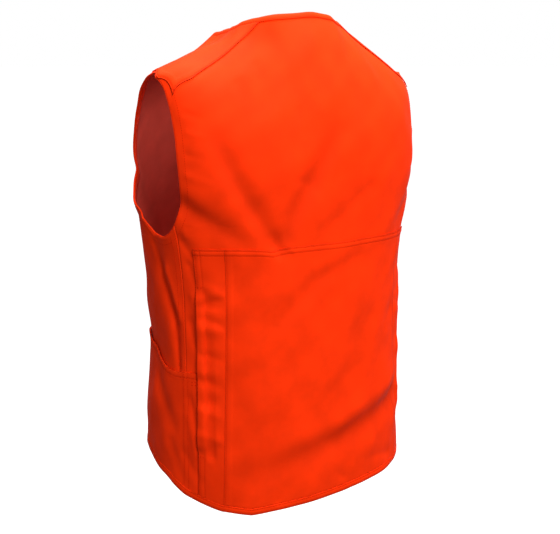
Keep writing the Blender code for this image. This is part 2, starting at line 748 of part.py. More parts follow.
def add_facings(back, left, right):
    """A facing turned in round each armhole: the panels' own cells, moved in."""
    last = 2 * (len(BACK_AT_HEM) - 1)
    corner = UNDERARM_COLUMNS
    for name, front, edge, inward in (
        ("armhole_facing_left", left, 0, 1),
        ("armhole_facing_right", right, last, -1),
    ):
        spots = {}
        for row in range(ROW_BAG, ROW_RIDGE + 1):
            for k in (0, 1):
                spots[row, k] = back[row, edge + inward * k]
        for row in range(ROW_ARMPIT, ROW_RIDGE):
            for k in (0, 1):
                spots[-row, k] = front[row, corner + k]
        for k in range(1, corner + 2):
            spots["low", k] = front[ROW_BAG, k]
            spots["rim", k] = front[ROW_ARMPIT, k]
        quads = [[(row, 0), (row, 1), (row + 1, 1), (row + 1, 0)]
                 for row in range(ROW_BAG, ROW_RIDGE)]
        quads += [[(-row, 0), (-row, 1), (-row - 1, 1), (-row - 1, 0)]
                  for row in range(ROW_ARMPIT, ROW_RIDGE - 1)]
        quads.append([(1 - ROW_RIDGE, 0), (1 - ROW_RIDGE, 1), (ROW_RIDGE, 1), (ROW_RIDGE, 0)])
        quads.append([(ROW_BAG, 0), ("low", 1), ("rim", 1), (ROW_ARMPIT, 0)])
        quads += [[("low", k), ("low", k + 1), ("rim", k + 1), ("rim", k)]
                  for k in range(1, corner + 1)]
        same = {("rim", corner): (-ROW_ARMPIT, 0), ("rim", corner + 1): (-ROW_ARMPIT, 1)}
        quads = [[same.get(key, key) for key in quad] for quad in quads]
        add_wall(name, spots, quads, -SEAM_GAP - CLOTH, -SEAM_GAP)


def mirror_path(path):
    return [(mirrored(place), mirrored(normal)) for place, normal in path]


def main():
    clear_scene()
    back, left, right = build_grids()
    last = 2 * (len(BACK_AT_HEM) - 1)
    front_last = len(FRONT_AT_HEM)

    add_wall("back_body", back, grid_quads(back), 0.0, CLOTH)
    add_wall("front_left", left, grid_quads(left), 0.0, CLOTH)
    add_wall("front_right", right, grid_quads(right), 0.0, CLOTH)

    # Game bag on the back: a middle panel and a strip down each side of it
    rows = list(range(ROW_BAG + 1))
    for name, columns, height in (
        ("game_bag", list(range(3, last - 2)), BAG_BILLOW),
        ("bag_strip_left", [1, 2, 3], STRIP_BILLOW),
        ("bag_strip_right", [last - 3, last - 2, last - 1], STRIP_BILLOW),
    ):
        spots = patch(back, rows, columns)
        add_wall(name, spots, grid_quads(spots), OVERLAY_BASE, OVERLAY_TOP,
                 bulge(rows, columns, height))

    # Patch pockets low on the fronts, round the side seams to the slits of the bag
    for name, grid, beside in (("pocket_left", left, 1), ("pocket_right", right, last - 1)):
        rows = list(range(ROW_POCKET + 1))
        columns = list(range(-1, front_last - 1))
        grid = grid | {(row, -1): back[row, beside] for row in rows}
        spots = patch(grid, rows, columns, POCKET_TRIM)
        add_wall(name, spots, grid_quads(spots), OVERLAY_BASE, OVERLAY_TOP,
                 bulge(rows, columns, POCKET_BILLOW, open_top=True))

    # Shoulder yokes, laid over the shoulder from the back to the front
    for name, front, side in (("yoke_left", left, 1), ("yoke_right", right, -1)):
        spots = {}
        places = [(row, back) for row in range(ROW_YOKE, ROW_RIDGE)]
        places += [(row, front) for row in range(ROW_RIDGE, ROW_YOKE - 1, -1)]
        for number, (row, grid) in enumerate(places):
            for k in range(SHOULDER_COLUMNS + 1):
                if grid is back:
                    key = (row, k if side == 1 else last - k)
                else:
                    key = (row, k + UNDERARM_COLUMNS)
                spots[number, k] = grid[key]
        corner, beyond = spots[0, 1], spots[0, 2]
        for k, share in enumerate(YOKE_CORNER_SHARES):
            spots[0, k] = between(corner, beyond, share)
        add_wall(name, spots, grid_quads(spots), OVERLAY_BASE, OVERLAY_TOP)

    # Band round the neck, from the zip up one side of the V, round and down the other
    path = [left[ROW_YOKE, k] for k in range(front_last, SHOULDER_COLUMNS + UNDERARM_COLUMNS - 1, -1)]
    inner = SHOULDER_COLUMNS + UNDERARM_COLUMNS
    path += [left[row, inner] for row in range(ROW_YOKE + 1, ROW_RIDGE + 1)]
    path += [back[row, SHOULDER_COLUMNS] for row in range(ROW_RIDGE - 1, ROW_YOKE, -1)]
    path += [back[ROW_YOKE, k] for k in range(SHOULDER_COLUMNS, len(BACK_AT_HEM))]
    path += list(reversed(mirror_path(path[:-1])))
    spots = strip_spots(path, SEAM_GAP, SEAM_GAP + BAND_WIDTH, 2 * SEAM_GAP)
    add_wall("neck_band", spots, grid_quads(spots), HEM_INSIDE, OVERLAY_TOP)

    add_facings(back, left, right)

    # Hem turned up all round, from zip to zip
    angles = [angle_of(left[0, k][0]) for k in range(front_last, 0, -1)]
    angles += [angle_of(back[0, k][0]) for k in range(len(BACK_AT_HEM))]
    angles += [180 - angle for angle in reversed(angles[:-1])]
    spots = {}
    for k, angle in enumerate(angles):
        for row in (0, 1):
            height = hem_height(angle) - HEM_BAND - SEAM_GAP + row * HEM_BAND
            spots[row, k] = cloth_spot(form_point(angle, height))
    add_wall("hem_band", spots, grid_quads(spots), HEM_INSIDE, HEM_OUTSIDE)

    build_zip(left, right)
    build_slider()


main()
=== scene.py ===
import math

import bpy
import numpy as np
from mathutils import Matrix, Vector


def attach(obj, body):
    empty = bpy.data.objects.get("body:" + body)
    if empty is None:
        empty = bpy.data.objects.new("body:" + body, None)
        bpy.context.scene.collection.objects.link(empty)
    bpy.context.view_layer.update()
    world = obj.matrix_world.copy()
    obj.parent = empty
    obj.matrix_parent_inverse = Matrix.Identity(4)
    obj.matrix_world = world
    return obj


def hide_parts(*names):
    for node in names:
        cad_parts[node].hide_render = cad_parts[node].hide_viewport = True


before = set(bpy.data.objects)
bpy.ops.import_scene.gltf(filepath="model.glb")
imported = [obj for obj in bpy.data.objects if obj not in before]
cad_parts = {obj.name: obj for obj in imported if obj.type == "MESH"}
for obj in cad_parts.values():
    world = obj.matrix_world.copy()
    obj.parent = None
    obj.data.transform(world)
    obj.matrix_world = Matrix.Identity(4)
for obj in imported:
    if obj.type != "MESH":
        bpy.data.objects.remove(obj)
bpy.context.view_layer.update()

# The photographer's stand: the camera looks at the vest from behind, on the wearer's
# left, a little down. The picture is 560 by 534 pixels.
PICTURE_WIDTH = 560
FOCAL_PIXELS = 1362
CAMERA_TURN = math.radians(145)
CAMERA_AWAY = 2.0
CAMERA_HEIGHT = 0.0
AIM_HEIGHT = -0.36
AIM_ASIDE = 0.01028
SENSOR = 36.0
to_camera = Vector((math.sin(CAMERA_TURN), -math.cos(CAMERA_TURN), 0))
to_right = Vector((math.cos(CAMERA_TURN), math.sin(CAMERA_TURN), 0))
camera_data = bpy.data.cameras.new("camera")
camera_data.sensor_width = SENSOR
camera_data.lens = SENSOR * FOCAL_PIXELS / PICTURE_WIDTH
camera = bpy.data.objects.new("camera", camera_data)
bpy.context.scene.collection.objects.link(camera)
camera.location = to_camera * CAMERA_AWAY + Vector((0, 0, CAMERA_HEIGHT))
aim = to_right * AIM_ASIDE + Vector((0, 0, AIM_HEIGHT))
camera.rotation_euler = (aim - camera.location).to_track_quat("-Z", "Y").to_euler()
bpy.context.scene.camera = camera

# Studio: a white room, dimmer as a light than it looks, a soft key from above the camera,
# one from the upper right, a strong top light a little behind, and a plain pale floor
# well below the vest. The floor throws no light up at the cloth.
ROOM_WHITE = 1.0
ROOM_LIGHT = 0.30
LIGHTS = (
    # name, right, up, towards the camera, size, power
    ("key", 0.55, 1.7, 1.5, 0.9, 50.0),
    ("side", 1.8, 1.8, 0.3, 0.9, 33.0),
    ("top", 0.0, 2.4, -0.5, 1.2, 110.0),
)
FLOOR_BELOW = 1.35
FLOOR_RADIUS = 40.0
FLOOR_GREY = 0.3
FLOOR_GLOW = 0.97
MATT = 0.9
WHITE = (1.0, 1.0, 1.0, 1.0)


def new_finish(name, roughness):
    """A new material, and its shader."""
    finish = bpy.data.materials.new(name)
    finish.use_nodes = True
    shader = finish.node_tree.nodes["Principled BSDF"]
    shader.inputs["Roughness"].default_value = roughness
    return finish, shader


scene = bpy.context.scene
scene.view_settings.view_transform = "Standard"
world = bpy.data.worlds.new("studio")
scene.world = world
world.use_nodes = True
nodes = world.node_tree.nodes
links = world.node_tree.links
nodes["Background"].inputs["Strength"].default_value = ROOM_LIGHT
seen = nodes.new("ShaderNodeBackground")
seen.inputs["Strength"].default_value = ROOM_WHITE
ray = nodes.new("ShaderNodeLightPath")
room = nodes.new("ShaderNodeMixShader")
nodes["Background"].inputs["Color"].default_value = WHITE
seen.inputs["Color"].default_value = WHITE
links.new(ray.outputs["Is Camera Ray"], room.inputs["Fac"])
links.new(nodes["Background"].outputs["Background"], room.inputs[1])
links.new(seen.outputs["Background"], room.inputs[2])
links.new(room.outputs["Shader"], nodes["World Output"].inputs["Surface"])
middle = Vector((0, 0, AIM_HEIGHT))
for name, right, up, near, size, power in LIGHTS:
    light = bpy.data.lights.new(name, "AREA")
    light.shape = "DISK"
    light.size = size
    light.energy = power
    lamp = bpy.data.objects.new(name, light)
    scene.collection.objects.link(lamp)
    lamp.location = middle + to_right * right + to_camera * near + Vector((0, 0, up))
    lamp.rotation_euler = (middle - lamp.location).to_track_quat("-Z", "Y").to_euler()
bpy.ops.object.select_all(action="DESELECT")
bpy.ops.mesh.primitive_circle_add(vertices=96, radius=FLOOR_RADIUS, fill_type="NGON",
                                  location=(0, 0, -FLOOR_BELOW))
floor = bpy.context.active_object
floor.name = "floor"
floor_finish, floor_shader = new_finish("pale_floor", MATT)
floor_shader.inputs["Base Color"].default_value = (FLOOR_GREY, FLOOR_GREY, FLOOR_GREY, 1.0)
floor_shader.inputs["Emission Color"].default_value = WHITE
floor_shader.inputs["Emission Strength"].default_value = FLOOR_GLOW
floor.visible_diffuse = False
floor.visible_glossy = False
floor.data.materials.append(floor_finish)

# The back panel: one piece of blaze-orange twill from hem to shoulders. It hangs on the
# form of a filled-out vest, whose sections, shoulders, armholes and neck come first.
CLOTH = 0.0012
SEAM_GAP = 0.0003
OVERLAY_BASE = CLOTH + SEAM_GAP
OVERLAY_TOP = OVERLAY_BASE + CLOTH
PATCH_BASE = CLOTH + 0.00015
PATCH_TOP = CLOTH + 0.00110
# Level sections: height, half width, depth at the back and front, power at each
SECTIONS = np.array((
    (-0.760, 0.2005, 0.143, 0.135, 2.2, 2.1),
    (-0.600, 0.2005, 0.142, 0.135, 2.2, 2.1),
    (-0.470, 0.1980, 0.138, 0.128, 2.2, 2.1),
    (-0.340, 0.2025, 0.139, 0.131, 2.2, 2.1),
    (-0.200, 0.2220, 0.145, 0.144, 2.4, 2.05),
))
# Shoulder ridge: distance from the middle, height
RIDGE = np.array((
    (0.000, 0.0543), (0.030, 0.0412), (0.060, 0.0155), (0.085, -0.0030), (0.120, -0.0285),
    (0.150, -0.0450), (0.180, -0.0565), (0.206, -0.0675), (0.235, -0.0815),
))
DOME_BASE = -0.200
RIDGE_Y = 0.030
DOME_SQUARE_MIDDLE = 1.85
DOME_SQUARE_TIP = 2.40
DOME_TIP_X = 0.200
NECK_HALF_WIDTH = 0.0935
NECK_BACK_Y = 0.0927
NECK_SQUARE = 1.7
NECK_FRONT_TAPER = 0.03
V_BOTTOM = -0.165
V_BEND = 0.9
BAND_WIDTH = 0.009
ARMHOLE_TOP = (0.012, -0.068)
ARMHOLE_BOTTOM = (0.028, -0.2925)
ARMHOLE_MIDDLE = -0.205
# Quarters of the armhole: reach, rise, power
ARMHOLE_QUARTERS = {
    "rear_up": (0.0500, 0.137, 2.8),
    "rear_down": (0.0500, 0.0875, 1.85),
    "front_up": (0.0970, 0.137, 1.9),
    "front_down": (0.0970, 0.0875, 1.65),
}
FACING_WIDTH = 0.012
SIDE_SEAM = 22.5
ZIP_HALF_GAP = 0.004
MIRROR = np.array((-1, 1, 1))
BAG_TOP = -0.305
POCKET_AT_SEAM = -0.482
YOKE_FRONT_Y = -0.025
# Rear edge of the yokes in plan
YOKE_LINE = np.array(((0.055, 0.0670), (0.105, 0.0650), (0.180, 0.0680), (0.202, 0.0600)))
# Finished hem: angle round the body, height
HEM = np.array((
    (-90, -0.600), (-50, -0.600), (-15, -0.610), (-6, -0.622), (11, -0.643), (22, -0.660),
    (30, -0.669), (41, -0.680), (54, -0.686), (73, -0.680), (94, -0.6735), (110, -0.668),
    (142, -0.660), (158, -0.652), (170, -0.641), (186, -0.622), (197, -0.611), (230, -0.600),
    (270, -0.600),
))
HEM_BAND = 0.010
# Mouth of the left pocket: angle, height
POCKET_MOUTH = np.array((
    (-90, -0.440), (-40, -0.440), (-20, -0.446), (-5, -0.456), (0, -0.469), (7, -0.479),
    (14, -0.484), (22.5, -0.482),
))
MOUTH_SOFTENING = (-3.0, -1.0, 1.0, 3.0)
BACK_AT_HEM = (22.5, 30.0, 36.0, 42.0, 49.0, 56.0, 63.0, 70.0, 75.0, 80.0, 85.0, 90.0)
BACK_AT_BAG = (22.5, 30.0, 37.0, 44.5, 51.0, 57.5, 64.0, 71.0, 75.75, 80.5, 85.25, 90.0)
FRONT_AT_HEM = (22.5, 14.0, 5.0, -3.0, -11.0, -19.0, -27.0, -35.0, -43.0, -51.0,
                -60.5, -70.0, -79.5)
SHOULDER_COLUMNS = 7
CENTRE_COLUMNS = 4
UNDERARM_COLUMNS = 2
ROW_POCKET = 5
ROW_BAG = 10
ROW_ARMPIT = 11
ROW_DOME = 15
ROW_YOKE = 19
ROW_RIDGE = 22
# Main folds, each straight from one place to another: angle, height, angle, height, half
# width, depth at each end. A minus depth is a trough.
FOLDS = (
    (29.0, -0.246, 41.0, -0.270, 0.015, -0.0062, -0.0048),
    (41.0, -0.270, 53.0, -0.295, 0.013, -0.0048, -0.0020),
    (45.0, -0.158, 54.5, -0.228, 0.014, -0.0016, -0.0050),
    (54.5, -0.228, 64.5, -0.298, 0.013, -0.0050, -0.0036),
    (93.0, -0.150, 80.0, -0.220, 0.015, -0.0024, -0.0066),
    (80.0, -0.220, 69.0, -0.298, 0.013, -0.0066, -0.0040),
    (108.0, -0.231, 88.0, -0.286, 0.013, -0.0032, -0.0020),
    (152.0, -0.236, 132.0, -0.284, 0.016, -0.0040, -0.0020),
    (105.0, -0.330, 83.0, -0.354, 0.013, -0.0016, -0.0028),
    (83.0, -0.354, 66.0, -0.415, 0.013, -0.0028, -0.0012),
    (112.0, -0.427, 86.0, -0.572, 0.022, -0.0022, -0.0018),
    (138.0, -0.552, 103.0, -0.586, 0.021, -0.0062, -0.0064),
    (103.0, -0.586, 52.0, -0.630, 0.019, -0.0064, -0.0015),
    (136.0, -0.528, 80.0, -0.580, 0.017, 0.0040, 0.0018),
    (5.0, -0.284, 7.0, -0.343, 0.012, -0.0015, -0.0030),
    (7.0, -0.343, 17.0, -0.413, 0.011, -0.0030, -0.0035),
    (17.0, -0.413, 17.0, -0.480, 0.010, -0.0030, -0.0015),
    (0.0, -0.500, 14.0, -0.562, 0.013, -0.0025, -0.0015),
    (-20.0, -0.150, -48.0, -0.290, 0.016, -0.0020, -0.0040),
    (-12.0, -0.262, -50.0, -0.340, 0.015, -0.0045, -0.0020),
    (-60.0, -0.330, -36.0, -0.420, 0.015, -0.0020, -0.0025),
    (-80.0, -0.520, -38.0, -0.560, 0.016, -0.0030, -0.0025),
    (202.0, -0.140, 226.0, -0.280, 0.016, -0.0020, -0.0045),
    (190.0, -0.270, 224.0, -0.352, 0.016, -0.0050, -0.0020),
    (238.0, -0.300, 214.0, -0.400, 0.014, -0.0015, -0.0025),
    (258.0, -0.545, 222.0, -0.572, 0.016, -0.0030, -0.0020),
    (178.0, -0.300, 166.0, -0.420, 0.014, -0.0015, -0.0030),
    (176.0, -0.500, 190.0, -0.560, 0.014, -0.0020, -0.0025),
)
FOLD_RADIUS = 0.190
SLOPE_STEP = 0.003
# Finer creases, in the same columns
CREASES = (
    # puckers under the armhole and along its back edge
    (24.0, -0.292, 30.0, -0.318, 0.0060, -0.0016, -0.0006),
    (27.5, -0.286, 36.0, -0.300, 0.0050, 0.0014, 0.0004),
    (31.0, -0.120, 38.0, -0.128, 0.0045, -0.0009, -0.0002),
    (32.0, -0.146, 39.0, -0.152, 0.0045, 0.0008, 0.0002),
    (32.5, -0.176, 40.0, -0.180, 0.0050, -0.0010, -0.0002),
    (32.0, -0.203, 41.0, -0.214, 0.0060, 0.0012, 0.0004),
    # short dents under the yoke
    (50.0, -0.083, 54.0, -0.104, 0.0080, -0.0014, -0.0004),
    (57.0, -0.060, 60.0, -0.082, 0.0080, -0.0012, -0.0003),
    # middle of the back
    (76.0, -0.118, 77.0, -0.150, 0.0060, -0.0007, -0.0004),
    (65.5, -0.290, 67.0, -0.316, 0.0060, -0.0018, -0.0022),
    (69.5, -0.302, 73.0, -0.312, 0.0050, 0.0018, 0.0006),
    # bag
    (70.0, -0.318, 64.0, -0.360, 0.0110, -0.0012, -0.0005),
    (92.0, -0.392, 74.0, -0.470, 0.0160, -0.0012, -0.0006),
    (66.0, -0.560, 60.0, -0.640, 0.0160, -0.0016, -0.0008),
    (132.0, -0.420, 118.0, -0.470, 0.0120, -0.0014, -0.0004),
    (140.0, -0.350, 126.0, -0.380, 0.0120, -0.0016, -0.0004),
    (128.0, -0.640, 108.0, -0.630, 0.0080, -0.0016, -0.0006),
    (96.0, -0.650, 88.0, -0.632, 0.0070, -0.0012, -0.0003),
    (66.0, -0.668, 70.0, -0.640, 0.0070, -0.0014, -0.0003),
    # crisp edge of the long fold in front of the side seam
    (2.0, -0.300, 8.5, -0.350, 0.0060, -0.0014, -0.0024),
    (8.5, -0.350, 15.5, -0.405, 0.0055, -0.0024, -0.0030),
    (15.5, -0.405, 17.5, -0.478, 0.0050, -0.0030, -0.0026),
    (11.0, -0.340, 19.5, -0.410, 0.0070, 0.0016, 0.0020),
    # hollow behind the slit's edge
    (34.5, -0.366, 35.0, -0.470, 0.0055, -0.0020, -0.0042),
    (35.0, -0.470, 36.5, -0.600, 0.0055, -0.0042, -0.0042),
    (145.5, -0.366, 145.0, -0.470, 0.0060, -0.0014, -0.0026),
    (145.0, -0.470, 143.5, -0.600, 0.0060, -0.0026, -0.0026),
    # between the side seam and the slit
    (27.0, -0.330, 29.0, -0.352, 0.0070, -0.0018, -0.0010),
    (27.5, -0.372, 29.0, -0.396, 0.0060, 0.0014, 0.0008),
    (26.0, -0.410, 29.5, -0.440, 0.0080, -0.0020, -0.0014),
    (25.0, -0.520, 30.0, -0.560, 0.0070, -0.0018, -0.0016),
    (24.0, -0.545, 29.0, -0.600, 0.0060, 0.0014, 0.0010),
    (22.0, -0.600, 31.0, -0.640, 0.0070, -0.0014, -0.0010),
    (12.0, -0.585, 21.0, -0.640, 0.0080, -0.0016, -0.0008),
    # hidden sides
    (152.0, -0.205, 140.0, -0.218, 0.0060, -0.0012, -0.0004),
    (150.0, -0.160, 141.0, -0.166, 0.0050, 0.0008, 0.0002),
    (156.0, -0.292, 148.0, -0.318, 0.0060, -0.0014, -0.0006),
    (-30.0, -0.205, -44.0, -0.228, 0.0080, -0.0012, -0.0006),
    (-70.0, -0.250, -84.0, -0.280, 0.0090, -0.0012, -0.0020),
    (-62.0, -0.480, -84.0, -0.500, 0.0090, -0.0008, -0.0018),
    (-50.0, -0.620, -66.0, -0.590, 0.0090, -0.0014, -0.0006),
    (246.0, -0.236, 264.0, -0.262, 0.0090, -0.0010, -0.0018),
    (232.0, -0.430, 262.0, -0.452, 0.0100, -0.0008, -0.0016),
    (184.0, -0.350, 168.0, -0.372, 0.0080, -0.0014, -0.0006),
    (186.0, -0.560, 172.0, -0.600, 0.0080, -0.0014, -0.0008),
)


def mix(a, b, share):
    return a + (b - a) * share


def end_slopes(table, level_end):
    slopes = np.gradient(table, table[:, 0], axis=0)
    slopes[level_end] = 0.0
    return slopes


SECTION_SLOPES = end_slopes(SECTIONS, -1)
RIDGE_SLOPES = end_slopes(RIDGE, 0)


def smooth_value(table, slopes, column, place):
    """A column's value at places on a cubic through the table's rows."""
    places = table[:, 0]
    place = np.clip(place, places[0], places[-1])
    k = np.clip(np.searchsorted(places, place) - 1, 0, len(places) - 2)
    step = places[k + 1] - places[k]
    u = (place - places[k]) / step
    start = (1 + 2 * u) * table[k, column] + u * step * slopes[k, column]
    end = (3 - 2 * u) * table[k + 1, column] + (u - 1) * step * slopes[k + 1, column]
    return start * (1 - u) ** 2 + end * u * u


def section(height, at_back):
    """Half width, depth and power of the level section at a height."""
    values = [smooth_value(SECTIONS, SECTION_SLOPES, k, height) for k in range(1, 6)]
    depth = np.where(at_back, values[1], values[2])
    power = np.where(at_back, values[3], values[4])
    return values[0], depth, power


def ridge_height(x):
    return smooth_value(RIDGE, RIDGE_SLOPES, 1, np.abs(x))


def dome_square(x):
    return mix(DOME_SQUARE_MIDDLE, DOME_SQUARE_TIP, np.minimum(np.abs(x) / DOME_TIP_X, 1.1) ** 4)


def form_point(angle, level):
    """Points of the form. Above the dome's base, level is the base plus a lift in radians."""
    turn = np.radians(angle)
    across, along = np.cos(turn), np.sin(turn)
    half_width, depth, power = section(np.minimum(level, DOME_BASE), along >= 0)
    radius = (np.abs(across) ** power + np.abs(along) ** power) ** (-1 / power)
    x = half_width * radius * across
    y = depth * radius * along
    lift = np.clip(level - DOME_BASE, 0.0, math.pi / 2)
    share = 2 / dome_square(x)
    high = DOME_BASE + (ridge_height(x) - DOME_BASE) * np.sin(lift) ** share
    above = level > DOME_BASE
    z = np.where(above, high, level)
    y = np.where(above, mix(RIDGE_Y, y, np.maximum(np.cos(lift), 0.0) ** share), y)
    return np.stack(np.broadcast_arrays(x, y, z), -1)


def wall_depth(x, at_back):
    half_width, depth, power = section(DOME_BASE, at_back)
    return depth * (1 - np.minimum(np.abs(x) / half_width, 1.0) ** power) ** (1 / power)


def dome_reach(x, y):
    """How far a place lies from the ridge towards the dome's wall, from 0 to 1."""
    back = (y - RIDGE_Y) / np.maximum(wall_depth(x, True) - RIDGE_Y, 0.002)
    front = (RIDGE_Y - y) / (wall_depth(x, False) + RIDGE_Y)
    return np.where(y >= RIDGE_Y, back, front)


def dome_point(x, y):
    """The point of the shoulder above a place in plan."""
    power = dome_square(x)
    rise = (1 - np.minimum(dome_reach(x, y), 1.0) ** power) ** (1 / power)
    z = DOME_BASE + (ridge_height(x) - DOME_BASE) * rise
    return np.stack(np.broadcast_arrays(x, y, z), -1)


def dome_level(x, y):
    return DOME_BASE + np.arccos(np.minimum(dome_reach(x, y), 1.0) ** (dome_square(x) / 2))


def dome_lift(x, height):
    rise = (height - DOME_BASE) / (ridge_height(x) - DOME_BASE)
    return np.arcsin(rise ** (dome_square(x) / 2))


def form_value(points):
    """Below nought inside the form, above it outside."""
    x, y, z = points[..., 0], points[..., 1], points[..., 2]
    half_width, depth, power = section(np.minimum(z, DOME_BASE), y >= 0)
    low = (np.abs(x) / half_width) ** power + (np.abs(y) / depth) ** power - 1
    square = dome_square(x)
    rise = np.maximum(z - DOME_BASE, 0) / (ridge_height(x) - DOME_BASE)
    high = np.abs(dome_reach(x, y)) ** square + rise ** square - 1
    return np.where(z <= DOME_BASE, low, high)


def form_slope(points):
    slopes = []
    for axis in range(3):
        shift = np.zeros(3)
        shift[axis] = SLOPE_STEP
        slopes.append(form_value(points + shift) - form_value(points - shift))
    return np.stack(slopes, -1) / (2 * SLOPE_STEP)


def unit(vectors):
    return vectors / np.maximum(np.linalg.norm(vectors, axis=-1, keepdims=True), 1e-12)


def angle_of(points):
    """The angle round the body, from -90 in the middle of the front to 270."""
    x, y, z = points[..., 0], points[..., 1], points[..., 2]
    half_width, depth, _ = section(np.minimum(z, DOME_BASE), y >= 0)
    angle = np.degrees(np.arctan2(y / depth, x / half_width))
    return np.where(angle < -90.001, angle + 360, angle)


def crease_depth(points, table):
    """How far a table of creases moves the cloth out at points of the form.

    A crease that starts where the one before it ends runs on from it.
    """
    round_body = np.radians(angle_of(points)) * FOLD_RADIUS
    height = points[..., 2]
    total = np.zeros(height.shape)
    chain, last_end = np.zeros(height.shape), None
    for angle_a, height_a, angle_b, height_b, half_width, depth_a, depth_b in table:
        start_u, end_u = (math.radians(a) * FOLD_RADIUS for a in (angle_a, angle_b))
        run_u, run_z = end_u - start_u, height_b - height_a
        length = run_u ** 2 + run_z ** 2
        share = ((round_body - start_u) * run_u + (height - height_a) * run_z) / length
        share = np.clip(share, 0, 1)
        away = np.hypot(round_body - start_u - run_u * share, height - height_a - run_z * share)
        depth = mix(depth_a, depth_b, share) * np.exp(-(away / half_width) ** 2)
        if (angle_a, height_a) != last_end:
            total += chain
            chain = np.zeros(height.shape)
        chain = np.where(np.abs(depth) > np.abs(chain), depth, chain)
        last_end = (angle_b, height_b)
    return total + chain


# Places where the empty shoulders, the neck and the left pocket sink in or stand up: x, y,
# z, radius, lift
LIFTS = (
    (0.102, 0.008, -0.019, 0.032, -0.0090),
    (0.058, 0.068, 0.001, 0.027, 0.0085),
    (-0.196, 0.038, -0.067, 0.036, -0.0100),
    (-0.102, 0.008, -0.019, 0.030, -0.0030),
    (0.195, -0.028, -0.462, 0.048, -0.0070),
)
# Small unevenness of the whole cloth: round-body and upright waves to the metre, turn
# of phase, height
RIPPLES = (
    (9.0, 5.0, 0.4, 0.00045), (-14.0, 8.0, 1.9, 0.00035), (5.0, -13.0, 2.7, 0.00040),
    (21.0, 12.0, 4.1, 0.00018), (-17.0, 23.0, 5.2, 0.00014), (31.0, -9.0, 0.9, 0.00010),
)


def ripple(points):
    round_body = np.radians(angle_of(points)) * FOLD_RADIUS
    total = 0.0
    for around, upright, phase, height in RIPPLES:
        waves = around * round_body + upright * points[..., 2]
        total = total + height * np.sin(2 * math.pi * waves + phase)
    return total


def local_lift(points):
    total = 0.0
    for x, y, z, radius, lift in LIFTS:
        away = np.linalg.norm(points - np.array((x, y, z)), axis=-1)
        total = total + lift * np.exp(-(away / radius) ** 2)
    return total


def on_cloth(points, lift=0.0):
    """Points near the form, laid on the folded cloth and lifted off its inner face."""
    for _ in range(2):
        slope = form_slope(points)
        strength = np.sum(slope * slope, -1, keepdims=True)
        points = points - slope * form_value(points)[..., None] / strength
    normal = unit(form_slope(points))
    lift = np.asarray(lift) + crease_depth(points, FOLDS) + crease_depth(points, CREASES)
    lift = lift + ripple(points) + local_lift(points)
    return points + normal * lift[..., None]


# Halvings of a search, where searches start, and points on a line before it is divided
HALVINGS = 34
SEARCH_LOW = -0.32
SEARCH_ANGLE_BACK = 10.0
SEARCH_ANGLE_FRONT = 5.0
NEARLY_WIDEST = 0.995
LINE_POINTS = 400


def solve(test, outside, inside):
    """The place between two values where a test changes from true to false."""
    for _ in range(HALVINGS):
        half = (outside + inside) / 2
        if test(half):
            outside = half
        else:
            inside = half
    return (outside + inside) / 2


def in_armhole(point):
    """True where the side view of a point falls inside the armhole's egg."""
    height_share = (ARMHOLE_TOP[1] - point[2]) / (ARMHOLE_TOP[1] - ARMHOLE_BOTTOM[1])
    lean = mix(ARMHOLE_TOP[0], ARMHOLE_BOTTOM[0], height_share)
    side = "rear" if point[1] >= lean else "front"
    half = "up" if point[2] >= ARMHOLE_MIDDLE else "down"
    reach, rise, square = ARMHOLE_QUARTERS[side + "_" + half]
    along = abs(point[1] - lean) / reach
    upward = abs(point[2] - ARMHOLE_MIDDLE) / rise
    return along ** square + upward ** square < 1


ARMPIT = solve(lambda z: in_armhole(form_point(SIDE_SEAM, z)), DOME_BASE, BAG_TOP)
FRONT_FLOOR = ARMHOLE_BOTTOM[1] - 0.0015
ROW_HEIGHTS = (ARMPIT, -0.268, -0.250, -0.227, DOME_BASE)


def hem_height(angle):
    return np.interp(angle, HEM[:, 0], HEM[:, 1]) + HEM_BAND + SEAM_GAP


def pocket_height(angle):
    angle = np.where(angle > 90, 180 - angle, angle)
    angles, heights = POCKET_MOUTH.T
    near = [np.interp(angle + turn, angles, heights) for turn in MOUTH_SOFTENING]
    return sum(near) / len(near)


def neck_back(x):
    inward = (1 - np.minimum(np.abs(x) / NECK_HALF_WIDTH, 1.0) ** NECK_SQUARE) ** (1 / NECK_SQUARE)
    return mix(RIDGE_Y, NECK_BACK_Y, inward)


def neck_half_width(y):
    if y >= RIDGE_Y:
        back = (y - RIDGE_Y) / (NECK_BACK_Y - RIDGE_Y)
        return NECK_HALF_WIDTH * (1 - back ** NECK_SQUARE) ** (1 / NECK_SQUARE)
    forward = (RIDGE_Y - y) / (RIDGE_Y - YOKE_FRONT_Y)
    return NECK_HALF_WIDTH * (1 - NECK_FRONT_TAPER * forward ** 2)


def yoke_back(x):
    return np.interp(np.abs(x), YOKE_LINE[:, 0], YOKE_LINE[:, 1])


YOKE_NECK_X = solve(lambda x: yoke_back(x) < neck_back(x), 0.0, NECK_HALF_WIDTH)
V_TOP = dome_point(neck_half_width(YOKE_FRONT_Y), YOKE_FRONT_Y)


def v_height(x):
    share = (np.abs(x) - ZIP_HALF_GAP) / (V_TOP[0] - ZIP_HALF_GAP)
    return mix(V_BOTTOM, V_TOP[2], np.clip(share, 0.0, 1.0) ** V_BEND)


def section_angle(x, at_back):
    half_width, depth, _ = section(DOME_BASE, at_back)
    angle = math.degrees(math.atan2(wall_depth(x, at_back) / depth, x / half_width))
    return angle if at_back else -angle


def top_level(angle):
    """The level of the yoke line or, nearer the middle, of the neck edge."""
    x = form_point(angle, DOME_BASE)[..., 0]
    yoke_y = np.where(angle >= 0, np.maximum(yoke_back(x), neck_back(x)), YOKE_FRONT_Y)
    at_yoke = dome_level(x, yoke_y)
    in_v = DOME_BASE + dome_lift(x, v_height(x))
    return np.where((angle < 0) & (np.abs(x) < V_TOP[0]), in_v, at_yoke)


